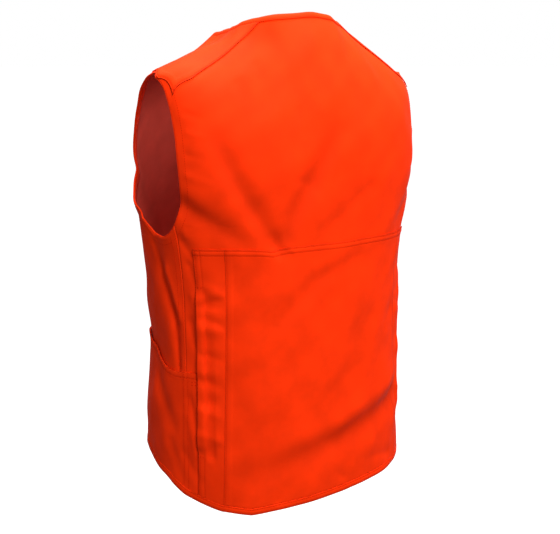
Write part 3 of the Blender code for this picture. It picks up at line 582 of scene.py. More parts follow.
def row_level(row, angle, at_back):
    """The level of a row of the left half, whole or in between, at angles."""
    pocket = np.where(at_back, POCKET_AT_SEAM, pocket_height(angle))
    if row <= ROW_POCKET:
        return mix(hem_height(angle), pocket, row / ROW_POCKET)
    if row <= ROW_BAG:
        return mix(pocket, BAG_TOP, (row - ROW_POCKET) / (ROW_BAG - ROW_POCKET))
    if row < ROW_DOME:
        places = (ROW_BAG, *range(ROW_ARMPIT, ROW_DOME + 1))
        return np.interp(row, places, (BAG_TOP, *ROW_HEIGHTS)) + 0 * angle
    share = (row - ROW_DOME) / (ROW_YOKE - ROW_DOME)
    return mix(DOME_BASE, top_level(angle), share)


def shoulder_ends(share, at_back):
    """Where a row above the yoke line starts at the armhole and ends at the neck."""
    def depth(x):
        start = yoke_back(x) if at_back else YOKE_FRONT_Y
        side = 1 if at_back else -1
        return mix(start, RIDGE_Y + side * SEAM_GAP / 2, share)

    widest = section(DOME_BASE, True)[0] * NEARLY_WIDEST
    outer = solve(lambda x: in_armhole(dome_point(x, depth(x))), widest, NECK_HALF_WIDTH)
    inner = solve(lambda x: x < neck_half_width(depth(x)), 0.0, NECK_HALF_WIDTH + 0.01)
    return outer, inner, depth


def spread(k, first):
    """Share of the way from armhole to neck of columns; the facing ends at the first."""
    beyond = mix(first, 1.0, (k - 1) / (SHOULDER_COLUMNS - 1))
    return np.where(k < 1, first * k, beyond)


def lengths_along(line):
    return np.concatenate(([0], np.cumsum(np.linalg.norm(np.diff(line, axis=0), axis=1))))


def points_along(line, run, spots):
    return np.stack([np.interp(spots, run, line[:, k]) for k in range(3)], -1)


def panel_row(row, columns, at_back, yoke_line=None):
    """Points of one row of the left half, with none outside the cut.

    Above the yoke line, the columns keep the spacing that they have there.
    """
    seam_shift = math.degrees(SEAM_GAP / 2 / SECTIONS[0, 1]) * (1 if at_back else -1)
    outer = SHOULDER_COLUMNS if at_back else SHOULDER_COLUMNS + UNDERARM_COLUMNS
    skip = 0 if at_back or row <= ROW_ARMPIT else UNDERARM_COLUMNS
    places = np.full((len(columns), 3), np.nan)
    if row > ROW_YOKE:
        share = (row - ROW_YOKE) / (ROW_RIDGE - ROW_YOKE)
        outer_x, inner_x, depth = shoulder_ends(share, at_back)
        used = (columns >= skip) & (columns <= outer)
        x = mix(outer_x, inner_x, np.linspace(0, 1, LINE_POINTS) ** 2)
        line = dome_point(x, depth(x))
        run = lengths_along(line)
        below = lengths_along(yoke_line[used])
        places[used] = points_along(line, run, below / below[-1] * run[-1])
        return places
    if at_back:
        low = mix(np.array(BACK_AT_HEM), np.array(BACK_AT_BAG), min(row / ROW_BAG, 1.0))
        neck_x = YOKE_NECK_X
    else:
        low = np.array((*FRONT_AT_HEM, -90 + math.degrees(ZIP_HALF_GAP / SECTIONS[0, 1])))
        neck_x = V_TOP[0]
    low[0] += seam_shift
    low_at = np.interp(columns, np.arange(len(low)), low)
    up_share = min(max(row - ROW_BAG, 0) / (ROW_DOME - ROW_BAG), 1.0)
    neck_angle = mix(low[outer], section_angle(neck_x, at_back), up_share)
    inner_angles = mix(neck_angle, low[-1], (columns - outer) / CENTRE_COLUMNS)
    if row <= ROW_ARMPIT:
        outer_angles = mix(low[0], neck_angle, (low_at - low[0]) / (low[outer] - low[0]))
    else:
        search_from = SEARCH_ANGLE_BACK if at_back else SEARCH_ANGLE_FRONT
        edge = solve(lambda a: in_armhole(form_point(a, row_level(row, a, at_back))),
                     search_from, neck_angle)
        start = form_point(edge, row_level(row, edge, at_back))
        on = edge + (1 if at_back else -1)
        one_on = form_point(on, row_level(row, on, at_back))
        first = FACING_WIDTH / np.linalg.norm(one_on - start) / abs(neck_angle - edge)
        low_share = (low_at - low[skip]) / (low[outer] - low[skip])
        one_low = np.interp(skip + 1, np.arange(len(low)), low) - low[skip]
        one_low = one_low / (low[outer] - low[skip])
        low_share = np.where(columns - skip < 1, first * (columns - skip),
                             mix(first, 1.0, (low_share - one_low) / (1 - one_low)))
        share = mix(low_share, spread(columns - skip, first), up_share)
        outer_angles = mix(edge, neck_angle, share)
    angles = np.where(columns >= outer, inner_angles, outer_angles)
    used = columns >= skip
    level = row_level(row, angles, at_back)
    if not at_back and ROW_BAG < row <= ROW_ARMPIT:
        floors = np.array([
            solve(lambda z: in_armhole(form_point(a, z)), ARMHOLE_MIDDLE, SEARCH_LOW)
            if k <= UNDERARM_COLUMNS else FRONT_FLOOR for a, k in zip(angles, columns)])
        level = mix(BAG_TOP, floors, (row - ROW_BAG) / (ROW_ARMPIT - ROW_BAG))
    places[used] = form_point(angles, level)[used]
    return places


def half_panel(rows, columns, at_back):
    yoke_line = panel_row(ROW_YOKE, columns, at_back)
    return np.stack([panel_row(row, columns, at_back, yoke_line) for row in rows])


def mirrored(places, rows):
    """The other half, moved to the hem and pocket heights of that side."""
    other = places * MIRROR
    for k, row in enumerate(rows):
        if row > ROW_BAG:
            continue
        angle = angle_of(other[k])
        at_back = (other[k][:, 1] >= 0) & (angle > 22) & (angle < 158)
        pocket = np.where(at_back, POCKET_AT_SEAM, pocket_height(angle))
        if row <= ROW_POCKET:
            height = mix(hem_height(angle), pocket, row / ROW_POCKET)
        else:
            height = mix(pocket, BAG_TOP, (row - ROW_POCKET) / (ROW_BAG - ROW_POCKET))
        other[k] = form_point(angle, height)
    return other


def steps(parts):
    """Whole rows or columns, each with so many steps up to the next."""
    return np.concatenate([k + np.arange(n) / n for k, n in enumerate(parts)] + [[len(parts)]])


def new_piece(name, mesh):
    piece = bpy.data.objects.new(name, mesh)
    scene.collection.objects.link(piece)
    return piece


def lay_flat(mesh, flat):
    """A UV map in metres, from a flat place for each point."""
    uv = mesh.uv_layers.new(name="cloth")
    loops = np.zeros(len(mesh.loops), np.int32)
    mesh.loops.foreach_get("vertex_index", loops)
    uv.data.foreach_set("uv", flat[loops].astype(np.float32).ravel())


# Painted shade: the cloth's colour is darkened down in a fold, for each metre of its depth
FOLD_PAINTED_SHADE = 32.0


def cloth_wall(name, places, low, high, rounding=0.0001, shade_and_wear=0.0):
    """A closed wall of cloth on a grid of places, between two heights over the form.

    Its faces' second material is the wrong side of the cloth. The UV map is in metres, and a point
    attribute carries painted shade down in the main folds and along seams, and a slightly lighter
    worn fold line.
    """
    there = ~np.isnan(places[..., 0])
    number = np.full(there.shape, -1)
    number[there] = np.arange(there.sum())
    spots = places[there]
    outer = on_cloth(spots, (high + 0 * number)[there])
    inner = on_cloth(spots, (low + 0 * number)[there])
    count = len(spots)
    corners = np.stack((number[:-1, :-1], number[:-1, 1:], number[1:, 1:], number[1:, :-1]), -1)
    quads = corners[(corners >= 0).all(-1)]
    first = outer[quads[0]]
    normal = np.cross(first[1] - first[0], first[3] - first[0])
    if np.dot(normal, form_slope(first[:1])[0]) < 0:
        quads = quads[:, ::-1]
    edges = np.concatenate([quads[:, [k, (k + 1) % 4]] for k in range(4)])
    key = edges.min(1) * count + edges.max(1)
    _, where, uses = np.unique(key, return_index=True, return_counts=True)
    rim = edges[where[uses == 1]]
    run = outer[rim[:, 1]] - outer[rim[:, 0]]
    aside = np.zeros_like(outer)
    push = unit(np.cross(run, (outer - inner)[rim[:, 0]]))
    np.add.at(aside, rim[:, 0], push)
    np.add.at(aside, rim[:, 1], push)
    lip = np.unique(rim)
    lip_number = np.full(count, -1)
    lip_number[lip] = 2 * count + np.arange(len(lip))
    middles = (outer + inner)[lip] / 2 + unit(aside[lip]) * rounding
    points = np.concatenate((outer, inner, middles))
    a, b = rim[:, 0], rim[:, 1]
    upper = np.stack((b, a, lip_number[a], lip_number[b]), -1)
    lower = np.stack((lip_number[b], lip_number[a], a + count, b + count), -1)
    faces = np.concatenate((quads, quads[:, ::-1] + count, upper, lower))
    mesh = bpy.data.meshes.new(name)
    mesh.from_pydata(points.tolist(), [], faces.tolist())
    mesh.polygons.foreach_set("use_smooth", np.ones(len(faces), bool))
    wrong = np.zeros(len(faces), np.int32)
    wrong[len(quads):2 * len(quads)] = 1
    mesh.polygons.foreach_set("material_index", wrong)
    across = np.linalg.norm(np.diff(places, axis=1), axis=-1)
    along = np.linalg.norm(np.diff(places, axis=0), axis=-1)
    width = np.nancumsum(np.pad(across, ((0, 0), (1, 0))), 1)
    length = np.nancumsum(np.pad(along, ((1, 0), (0, 0))), 0)
    width -= width[:, width.shape[1] // 2][:, None]
    flat = np.stack((width[there], length[there]), -1)
    lay_flat(mesh, np.concatenate((flat, flat, flat[lip])))
    # Painted shade: the seams' painted shade and wear, darkened further down in each main fold
    point_shade_and_wear = (shade_and_wear + 0 * number)[there] + FOLD_PAINTED_SHADE * np.minimum(crease_depth(spots, FOLDS), 0)
    tone = mesh.attributes.new("shade_and_wear", "FLOAT", "POINT")
    tone.data.foreach_set("value", np.concatenate((point_shade_and_wear, point_shade_and_wear, point_shade_and_wear[lip])).astype(np.float32))
    mesh.validate()
    return new_piece(name, mesh)


TWILL_ROUGHNESS = 0.72
CLOTH_SHEEN = 0.03
CLOTH_SHEEN_ROUGHNESS = 0.25
CLOTH_SPECULAR = 0.05
# Uneven dye: patches, their detail, the darkest and lightest share of the colour, and
# the noise values that they stand at
DYE_SCALE = 28.0
DYE_DETAIL = 6.0
DYE_DARK = 0.93
DYE_LIGHT = 1.05
DYE_LOW = 0.35
DYE_HIGH = 0.65
# Twill lines: how close, how slanted, how unsteady and how high
TWILL_SCALE = 380.0
TWILL_SLANT = math.radians(27)
TWILL_WAVER = 0.6
TWILL_STRENGTH = 0.25
TWILL_HEIGHT = 0.00012


def cloth_finish(name, colour, roughness=TWILL_ROUGHNESS):
    """Woven cloth: fine twill lines, slightly uneven dye, a soft sheen."""
    finish, shader = new_finish(name, roughness)
    nodes, links = finish.node_tree.nodes, finish.node_tree.links
    shader.inputs["Sheen Weight"].default_value = CLOTH_SHEEN
    shader.inputs["Sheen Roughness"].default_value = CLOTH_SHEEN_ROUGHNESS
    shader.inputs["Specular IOR Level"].default_value = CLOTH_SPECULAR
    place = nodes.new("ShaderNodeTexCoord")
    noise = nodes.new("ShaderNodeTexNoise")
    noise.inputs["Scale"].default_value = DYE_SCALE
    noise.inputs["Detail"].default_value = DYE_DETAIL
    links.new(place.outputs["UV"], noise.inputs["Vector"])
    ramp = nodes.new("ShaderNodeValToRGB")
    dark = tuple(c * DYE_DARK for c in colour)
    light = tuple(min(c * DYE_LIGHT, 1.0) for c in colour)
    ramp.color_ramp.elements[0].color = (*dark, 1.0)
    ramp.color_ramp.elements[1].color = (*light, 1.0)
    ramp.color_ramp.elements[0].position = DYE_LOW
    ramp.color_ramp.elements[1].position = DYE_HIGH
    links.new(noise.outputs["Fac"], ramp.inputs["Fac"])
    # Painted shade: the colour is scaled by one plus a point attribute, darker in folds and along
    # seams
    point_shade_and_wear = nodes.new("ShaderNodeAttribute")
    point_shade_and_wear.attribute_name = "shade_and_wear"
    tone = nodes.new("ShaderNodeMath")
    tone.operation = "ADD"
    tone.inputs[1].default_value = 1.0
    links.new(point_shade_and_wear.outputs["Fac"], tone.inputs[0])
    shade = nodes.new("ShaderNodeVectorMath")
    shade.operation = "SCALE"
    links.new(ramp.outputs["Color"], shade.inputs[0])
    links.new(tone.outputs["Value"], shade.inputs["Scale"])
    links.new(shade.outputs["Vector"], shader.inputs["Base Color"])
    turn = nodes.new("ShaderNodeMapping")
    turn.inputs["Rotation"].default_value = (0, 0, TWILL_SLANT)
    links.new(place.outputs["UV"], turn.inputs["Vector"])
    twill = nodes.new("ShaderNodeTexWave")
    twill.inputs["Scale"].default_value = TWILL_SCALE
    twill.inputs["Distortion"].default_value = TWILL_WAVER
    links.new(turn.outputs["Vector"], twill.inputs["Vector"])
    bump = nodes.new("ShaderNodeBump")
    bump.inputs["Strength"].default_value = TWILL_STRENGTH
    bump.inputs["Distance"].default_value = TWILL_HEIGHT
    links.new(twill.outputs["Fac"], bump.inputs["Height"])
    links.new(bump.outputs["Normal"], shader.inputs["Normal"])
    return finish


ORANGE = (0.95, 0.033, 0.0010)
INSIDE = (0.64, 0.080, 0.055)
cloth_right = cloth_finish("orange_twill", ORANGE)
cloth_wrong = cloth_finish("twill_wrong_side", INSIDE)


def fit_out(piece, node, finishes):
    """Give a piece its finishes, and let it ride on the vest in place of its solid."""
    for finish in finishes:
        piece.data.materials.append(finish)
    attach(piece, "vest")
    if node:
        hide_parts(node)


# Steps of the fine grid in each row and column
ROWS = steps((12,) * 5 + (11,) * 5 + (5, 7, 6, 7, 8) + (14,) * 4 + (5,) * 3)
BACK_COLUMNS = steps((10,) + (7,) * 2 + (6,) * 8)
back_half = half_panel(ROWS, BACK_COLUMNS, True)
back_places = np.concatenate((back_half, mirrored(back_half, ROWS)[:, -2::-1]), 1)
back = cloth_wall("back_panel", back_places, 0.0, CLOTH)
fit_out(back, "back_body", (cloth_right, cloth_wrong))

# The fronts: two pieces of the same twill, sewn to the back at the sides and shoulders,
# each with its half of the V neck.
FRONT_COLUMNS = steps((10,) + (8,) * 2 + (6,) * 7 + (7,) * 3)
front_half = half_panel(ROWS, FRONT_COLUMNS, False)
for name, places, node in (
    ("left_front", front_half, "front_left"),
    ("right_front", mirrored(front_half, ROWS), "front_right"),
):
    piece = cloth_wall(name, places, 0.0, CLOTH)
    fit_out(piece, node, (cloth_right, cloth_wrong))

# Sewing: every seam is closed with one or two rows of lockstitch in a slightly deeper
# orange thread. Each stitch is a small bead of thread that sinks a little into the cloth.
STITCH_PITCH = 0.0034
STITCH_LENGTH = 0.0026
STITCH_THICK = 0.00090
STITCH_SUNK = 0.00008
STITCH_AHEAD = 0.0005
THREAD = (0.70, 0.018, 0.0009)
thread, thread_shader = new_finish("thread", MATT)
thread_shader.inputs["Base Color"].default_value = (*THREAD, 1.0)
thread_shader.inputs["Specular IOR Level"].default_value = 0.0
# One bead: rings of five points between two ends, as place along it and half width
BEAD_RINGS = ((-0.32, 0.42), (0.0, 0.5), (0.32, 0.42))
ROUND = [(math.cos(2 * math.pi * k / 5), math.sin(2 * math.pi * k / 5)) for k in range(5)]
bead_points = [(-0.5, 0, 0)]
bead_points += [(along, wide * c, wide * d) for along, wide in BEAD_RINGS for c, d in ROUND]
bead_points += [(0.5, 0, 0)]
BEAD = np.array(bead_points)
BEAD_FACES = [(0, 1 + (k + 1) % 5, 1 + k) for k in range(5)]
BEAD_FACES += [(1 + 5 * r + k, 1 + 5 * r + (k + 1) % 5, 6 + 5 * r + (k + 1) % 5, 6 + 5 * r + k)
               for r in range(2) for k in range(5)]
BEAD_FACES += [(16, 11 + k, 11 + (k + 1) % 5) for k in range(5)]


def path_on(places, lift, row_at, column_at):
    """Points of the cloth's outer face along a path of fractional rows and columns."""
    row_at, column_at = np.broadcast_arrays(row_at, column_at)
    i = np.clip(row_at.astype(int), 0, places.shape[0] - 2)
    j = np.clip(column_at.astype(int), 0, places.shape[1] - 2)
    u, v = (row_at - i)[:, None], (column_at - j)[:, None]
    lift = np.asarray(lift) + np.zeros(places.shape[:2])

    def blend(grid):
        low = mix(grid[i, j], grid[i, j + 1], v)
        high = mix(grid[i + 1, j], grid[i + 1, j + 1], v)
        return mix(low, high, u)

    return on_cloth(blend(places), blend(lift[..., None])[:, 0])


def sew(name, lines):
    """A joined row of stitches along each line of points."""
    points, faces = [], []
    for line in lines:
        line = line[~np.isnan(line[:, 0])]
        run = lengths_along(line)
        count = max(int(run[-1] / STITCH_PITCH), 1)
        spots = (np.arange(count) + 0.5) * run[-1] / count
        centre = points_along(line, run, spots)
        ahead = points_along(line, run, spots + STITCH_AHEAD)
        behind = points_along(line, run, spots - STITCH_AHEAD)
        along = unit(ahead - behind)
        out = form_slope(centre)
        out = unit(out - along * np.sum(out * along, -1, keepdims=True))
        aside = np.cross(out, along)
        centre = centre - out * STITCH_SUNK
        for k in range(count):
            base = len(points) * len(BEAD)
            shape = BEAD[:, :1] * STITCH_LENGTH * along[k]
            shape = shape + BEAD[:, 1:2] * STITCH_THICK * aside[k]
            shape = shape + BEAD[:, 2:] * STITCH_THICK * out[k]
            points.append(centre[k] + shape)
            faces += [tuple(base + n for n in face) for face in BEAD_FACES]
    mesh = bpy.data.meshes.new(name)
    mesh.from_pydata(np.concatenate(points).tolist(), [], faces)
    mesh.polygons.foreach_set("use_smooth", np.ones(len(faces), bool))
    fit_out(new_piece(name, mesh), None, (thread,))


def row_index(row):
    return float(np.interp(row, ROWS, np.arange(len(ROWS))))


def column_index(column, columns):
    return np.interp(column, columns, np.arange(len(columns)))


# Side seams, twin-stitched on the front's side
TWIN_COLUMNS = (0.09, 0.42)
SEAM_END = 0.15
low_rows = np.arange(row_index(SEAM_END), row_index(ROW_ARMPIT - SEAM_END))
for name, places in (
    ("side_stitches_l", front_half),
    ("side_stitches_r", mirrored(front_half, ROWS)),
):
    columns = [column_index(k, FRONT_COLUMNS) for k in TWIN_COLUMNS]
    sew(name, [path_on(places, CLOTH, low_rows, column) for column in columns])

# The game bag: a wide panel laid over the lower back and sewn all round, its top with twin
# rows, and a strip down each side. The strip's front edge is a slit: only its two ends
# are sewn down, with a bar across at the top one.
BAG_BILLOW = 0.0022
STRIP_BILLOW = 0.0020
TURNING = 0.0098
TURNING_LIFT = 0.00045
STITCH_NEAR = 0.0020
STITCH_FAR = 0.0088
TWIN = (STITCH_NEAR, STITCH_FAR)
GROOVE = 0.00055
GROOVE_WIDTH = 0.0010
TURNING_BLUR = 0.0006
EDGE_STEP = 0.0011
OPEN_STEP = 0.0038
PAST_TURNING = 0.003
PATCH_ROUNDING = 0.00035
# Stitches stop this far from a patch's ends
STITCH_END = 0.002
# Tone, width: painted shadow at the very edge, its worn fold 1 mm in, painted shade along each row
# of stitches
EDGE_PAINTED_SHADOW = (-0.35, 0.0007)
FOLD_LINE = 0.001
FOLD_LINE_TONE = (0.05, 0.0008)
ROW_PAINTED_SHADE = (-0.15, 0.0009)


def edge_steps(length):
    """Places along a length, close together near both ends where the turnings are."""
    near = np.arange(0, TURNING + PAST_TURNING, EDGE_STEP)
    rest = length - 2 * near[-1]
    middle = near[-1] + rest * np.linspace(0, 1, max(int(rest / OPEN_STEP), 2) + 1)[1:-1]
    return np.concatenate((near, middle, length - near[::-1]))


def turned(distance, rows=TWIN):
    """Lift of a turned and stitched edge at a distance from it: double cloth, with a dip
    along each row of stitches."""
    lift = TURNING_LIFT / (1 + np.exp((distance - TURNING) / TURNING_BLUR))
    for row in rows:
        lift = lift - GROOVE * np.exp(-((distance - row) / GROOVE_WIDTH) ** 2)
    return lift


# Painted shade along rows of stitches and painted shadow at the very edge; the lighter fold line
# is wear
def seam_tone(distance, rows=TWIN):
    """Darker along rows of stitches and at the edge itself, a little lighter on the fold."""
    tone = 0.0
    for place, (strength, width) in (
        (0.0, EDGE_PAINTED_SHADOW), (FOLD_LINE, FOLD_LINE_TONE), *((row, ROW_PAINTED_SHADE) for row in rows),
    ):
        tone = tone + strength * np.exp(-((distance - place) / width) ** 2)
    return tone


def patch_grid(low_row, high_row, low_column, high_column, height, width, at_back=True):
    """A patch's own grid on the left half, with its distances from its low sides."""
    down, across = edge_steps(height), edge_steps(width)
    rows = mix(low_row, high_row, down / height)
    columns = mix(low_column, high_column, across / width)
    return half_panel(rows, columns, at_back), rows, down, across


def trim_sides(places, gap=SEAM_GAP):
    for edge, near in ((0, 1), (-1, -2)):
        places[:, edge] += unit(places[:, near] - places[:, edge]) * gap
    return places


def puff(down, across, height, open_top=False):
    """How far the middle of a patch is blown out."""
    d, a = down / down[-1], across / across[-1]
    upright = np.sin(math.pi / 2 * d) if open_top else np.sin(math.pi * d)
    return height * upright[:, None] * np.sin(math.pi * a)[None]


def at(distance, distances):
    """Fractional index of a distance; a minus one counts from the far end."""
    distance = np.where(np.asarray(distance) < 0, distances[-1] + distance, distance)
    return np.interp(distance, distances, np.arange(len(distances)))


# The top edge sags where the back's creases meet, and is drawn in there: angle, width,
# drop
BAG_SAG = ((65.5, 0.014, -0.0034), (62.0, 0.030, -0.0016), (112.0, 0.040, 0.0012))
BAG_HEIGHT = 0.370
BAG_HALF = 0.176
# No column but the middle one lies nearer to the middle than this
BAG_MIDDLE = 0.012
SAG_POWER = 5
# Share of the lift that its under side follows
BAG_UNDER = 0.5


def sag(places, down):
    share = (down / down[-1])[:, None] ** SAG_POWER
    around = np.radians(angle_of(places)) * FOLD_RADIUS
    for angle, width, drop in BAG_SAG:
        away = (around - math.radians(angle) * FOLD_RADIUS) / width
        places[..., 2] += drop * np.exp(-away ** 2) * share
    return places


bag_half, bag_rows, bag_down, half_across = patch_grid(0, ROW_BAG, 3, 11, BAG_HEIGHT, BAG_HALF)
keep = half_across < BAG_HALF - BAG_MIDDLE
keep[-1] = True
bag_half, half_across = bag_half[:, keep], half_across[keep]
bag_places = np.concatenate((bag_half, mirrored(bag_half, bag_rows)[:, -2::-1]), 1)
bag_across = np.concatenate((half_across, 2 * BAG_HALF - half_across[-2::-1]))
bag_places = sag(trim_sides(bag_places), bag_down)
from_top = bag_down[-1] - bag_down
from_side = np.minimum(bag_across, bag_across[-1] - bag_across)
bag_lift = puff(bag_down, bag_across, BAG_BILLOW) + turned(from_top)[:, None]
bag_lift = bag_lift + turned(from_side, (STITCH_NEAR,))[None]
# The bag's painted shade and shadow along its seams
bag_tone = seam_tone(from_top)[:, None] + seam_tone(from_side, (STITCH_NEAR,))[None]
bag = cloth_wall("bag_panel", bag_places, PATCH_BASE + bag_lift * BAG_UNDER, PATCH_TOP + bag_lift,
                 PATCH_ROUNDING, bag_tone)
fit_out(bag, "game_bag", (cloth_right, cloth_wrong))
top = PATCH_TOP + bag_lift
wide = at(np.linspace(STITCH_NEAR, bag_across[-1] - STITCH_NEAR, 300), bag_across)
tall = at(np.linspace(0.004, bag_down[-1] - 0.0005, 300), bag_down)
lines = [path_on(bag_places, top, at(-d, bag_down), wide) for d in TWIN]
lines += [path_on(bag_places, top, tall, at(d, bag_across)) for d in (STITCH_NEAR, -STITCH_NEAR)]
sew("bag_stitches", lines)

# Creases across the strip, as it bellies between its two sewn edges: height, half
# height, depth
STRIP_CREASES = (
    (-0.3640, 0.0080, 0.0016), (-0.3830, 0.0070, -0.0020), (-0.4060, 0.0060, -0.0016),
    (-0.4180, 0.0090, 0.0014), (-0.4570, 0.0060, -0.0014), (-0.4800, 0.0090, 0.0010),
    (-0.4960, 0.0080, -0.0018), (-0.5220, 0.0100, -0.0012), (-0.5380, 0.0060, 0.0010),
    (-0.5730, 0.0070, 0.0018), (-0.5930, 0.0110, -0.0022), (-0.6240, 0.0170, -0.0020),
)
STRIP_CREASE_SCALE = 1.6
# Each crease has its own slant and reach, by waves over its height: mean, swing, waves
CREASE_SLANT = (0.10, 0.34, 150)
CREASE_REACH = (0.75, 0.25, 310)
REACH_ACROSS = 75
# On the right they are weaker, and lie lower
RIGHT_DEPTH = (0.35, 0.35, 90)
RIGHT_SHIFT = 0.011
RIGHT_GAPE = 0.6
# The slit: where it ends, how softly it opens, how far it gapes and how wide that shows
SLIT_TOP = 0.055
SLIT_BOTTOM = 0.060
SLIT_SOFTENING = 0.02
SLIT_GAPE = 0.0046
GAPE_WIDTH = 0.012
# The bar's three rows across the slit's ends
SLIT_BARS = (-SLIT_TOP, -SLIT_TOP - 0.001, SLIT_BOTTOM)
BELLY_START = 0.08
BELLY_POWER = 0.6
NO_SINKING = -0.0001
STRIP_WIDTH = 0.0345
STRIP_HEIGHT = 0.363
strip_half, strip_rows, strip_down, strip_across = patch_grid(
    0, ROW_BAG, 1, 3, STRIP_HEIGHT, STRIP_WIDTH)
strip_top = strip_down[-1] - strip_down
opened = np.clip((strip_down - SLIT_BOTTOM) / SLIT_SOFTENING, 0, 1)
opened = opened * np.clip((strip_top - SLIT_TOP) / SLIT_SOFTENING, 0, 1)
opened = opened * opened * (3 - 2 * opened)
sewn = 1 - opened



def wave(mean_swing_waves, place, turn=0.0):
    mean, swing, waves = mean_swing_waves
    return mean + swing * np.sin(waves * place + turn)


share = np.clip(strip_across / STRIP_WIDTH, 0, 1)
aside = strip_across[None] - STRIP_WIDTH / 2
both_sewn = np.sin(math.pi * share)[None]
one_free = np.sin(math.pi * mix(BELLY_START, 1.0, share))[None]
belly = np.clip(mix(both_sewn, one_free, opened[:, None]), 0, 1) ** BELLY_POWER
for name, side, node in (
    ("bag_strip_l", 1, "bag_strip_left"),
    ("bag_strip_r", -1, "bag_strip_right"),
):
    on_left = side == 1
    places = strip_half.copy() if on_left else mirrored(strip_half, strip_rows)
    places = trim_sides(places)
    lift = puff(strip_down, strip_across, STRIP_BILLOW)
    for place, half_height, depth in STRIP_CREASES:
        depth = depth if on_left else depth * wave(RIGHT_DEPTH, place)
        slant = side * wave(CREASE_SLANT, place) * aside
        reach = wave(CREASE_REACH, place, REACH_ACROSS * aside)
        shift = 0 if on_left else RIGHT_SHIFT
        away = (places[..., 2] - place + slant + shift) / half_height
        lift = lift + STRIP_CREASE_SCALE * depth * reach * belly * np.exp(-away ** 2)
    free_edge = np.exp(-(strip_across / GAPE_WIDTH) ** 2)[None] * opened[:, None]
    lift = lift + SLIT_GAPE * (1 if on_left else RIGHT_GAPE) * free_edge
    lift = lift + turned(strip_across)[None] * sewn[:, None] + turned(strip_top)[:, None]
    lift = lift + turned(strip_across, ())[None] * opened[:, None]
    lift = np.maximum(lift, NO_SINKING)
    # The strip's painted shade and shadow along its seams
    tone = seam_tone(strip_across)[None] * sewn[:, None] + seam_tone(strip_top)[:, None]
    piece = cloth_wall(name, places, PATCH_BASE + lift, PATCH_TOP + lift, PATCH_ROUNDING, tone)
    fit_out(piece, node, (cloth_right, cloth_wrong))
    top = PATCH_TOP + lift
    wide = at(np.linspace(STITCH_NEAR, STRIP_WIDTH, 40), strip_across)
    upper = at(np.linspace(STRIP_HEIGHT - SLIT_TOP, STRIP_HEIGHT - STITCH_NEAR, 60), strip_down)
    lower = at(np.linspace(0.001, SLIT_BOTTOM, 60), strip_down)
    bar = at(np.linspace(0.0008, STITCH_FAR, 20), strip_across)
    lines = [path_on(places, top, at(-d, strip_down), wide) for d in TWIN]
    for d in TWIN:
        lines.append(path_on(places, top, upper, at(d, strip_across)))
        lines.append(path_on(places, top, lower, at(d, strip_across)))
    for d in SLIT_BARS:
        lines.append(path_on(places, top, at(d, strip_down), bar))
    sew(name + "_stitches", lines)

# Patch pockets low on the fronts, sewn at the sides and into the hem and open at a curved
# mouth with a narrow turned edge, which a bar tack holds at the side seam.
POCKET_BILLOW = 0.0022
POCKET_HEIGHT = 0.170
POCKET_WIDTH = 0.250
MOUTH_ROW = 0.0075
# Rows that hold it to the side seam
POCKET_SEAM_ROWS = (0.0165, 0.0230)
POCKET_SIDE_ROWS = (STITCH_NEAR, *POCKET_SEAM_ROWS)
# Bar tack under the mouth: where it starts and ends, and the places of its rows
TACK_REACH = (0.002, 0.012)
TACK_ROWS = (-0.012, -0.0128, -0.016, -0.0168)
# Share of the seams' painted shade and shadow kept at the mouth
MOUTH_TONE = 0.7
POCKET_TRIM = 0.001
POCKET_UNDER = 0.6
POCKET_ROUNDING = 0.0004
pocket_down, pocket_across = edge_steps(POCKET_HEIGHT), edge_steps(POCKET_WIDTH)
pocket_rows = ROW_POCKET * pocket_down / POCKET_HEIGHT
pocket_columns = mix(-1, 11, pocket_across / POCKET_WIDTH)
on_back = pocket_columns < 0
pocket_half = np.concatenate((
    half_panel(pocket_rows, -pocket_columns[on_back], True),
    half_panel(pocket_rows, pocket_columns[~on_back], False),
), 1)
mouth = pocket_down[-1] - pocket_down
front_end = pocket_across[-1] - pocket_across
for name, places, panel, node in (
    ("pocket_l", pocket_half, "left_front", "pocket_left"),
    ("pocket_r", mirrored(pocket_half, pocket_rows), "right_front", "pocket_right"),
):
    places = trim_sides(places.copy(), POCKET_TRIM)
    lift = puff(pocket_down, pocket_across, POCKET_BILLOW, True)
    lift = lift + turned(mouth, (MOUTH_ROW,))[:, None]
    lift = lift + turned(pocket_across, POCKET_SIDE_ROWS)[None]
    lift = lift + turned(front_end)[None]
    # The pocket's painted shade and shadow along its seams
    tone = seam_tone(mouth, (MOUTH_ROW,))[:, None] * MOUTH_TONE
    tone = tone + seam_tone(pocket_across, POCKET_SIDE_ROWS)[None]
    tone = tone + seam_tone(front_end)[None]
    piece = cloth_wall(name, places, PATCH_BASE + lift * POCKET_UNDER, PATCH_TOP + lift,
                       POCKET_ROUNDING, tone)
    fit_out(piece, node, (cloth_right, cloth_wrong))
    top = PATCH_TOP + lift
    wide = at(np.linspace(STITCH_END, POCKET_WIDTH - STITCH_END, 200), pocket_across)
    tall = at(np.linspace(STITCH_END, POCKET_HEIGHT - STITCH_END / 2, 150), pocket_down)
    lines = [path_on(places, top, at(-MOUTH_ROW, pocket_down), wide)]
    for d in (*POCKET_SIDE_ROWS, -STITCH_NEAR, -STITCH_FAR):
        lines.append(path_on(places, top, tall, at(d, pocket_across)))
    tack = at(np.linspace(*TACK_REACH, 20), pocket_across)
    for d in TACK_ROWS:
        lines.append(path_on(places, top, at(d, pocket_down), tack))
    sew(name + "_stitches", lines)

# Shoulder yokes: a patch over each shoulder seam, from the back over to the front, its
# rear corner drawn in from the armhole. One row of stitches along each of its two long edges, and
# one along its armhole side.
YOKE_LENGTH = 0.110
YOKE_WIDTH = 0.125
# How far its side keeps from the armhole: rows from its rear edge, distance
YOKE_INSET = np.array(((0.0, 0.0220), (2.2, 0.0008), (3.4, 0.0010), (6.0, 0.0150)))
# Its front and rear edges take half as much again of the seams' painted shadow and shade
YOKE_EDGE_PAINTED_SHADE = 1.5
YOKE_UNDER = 0.4
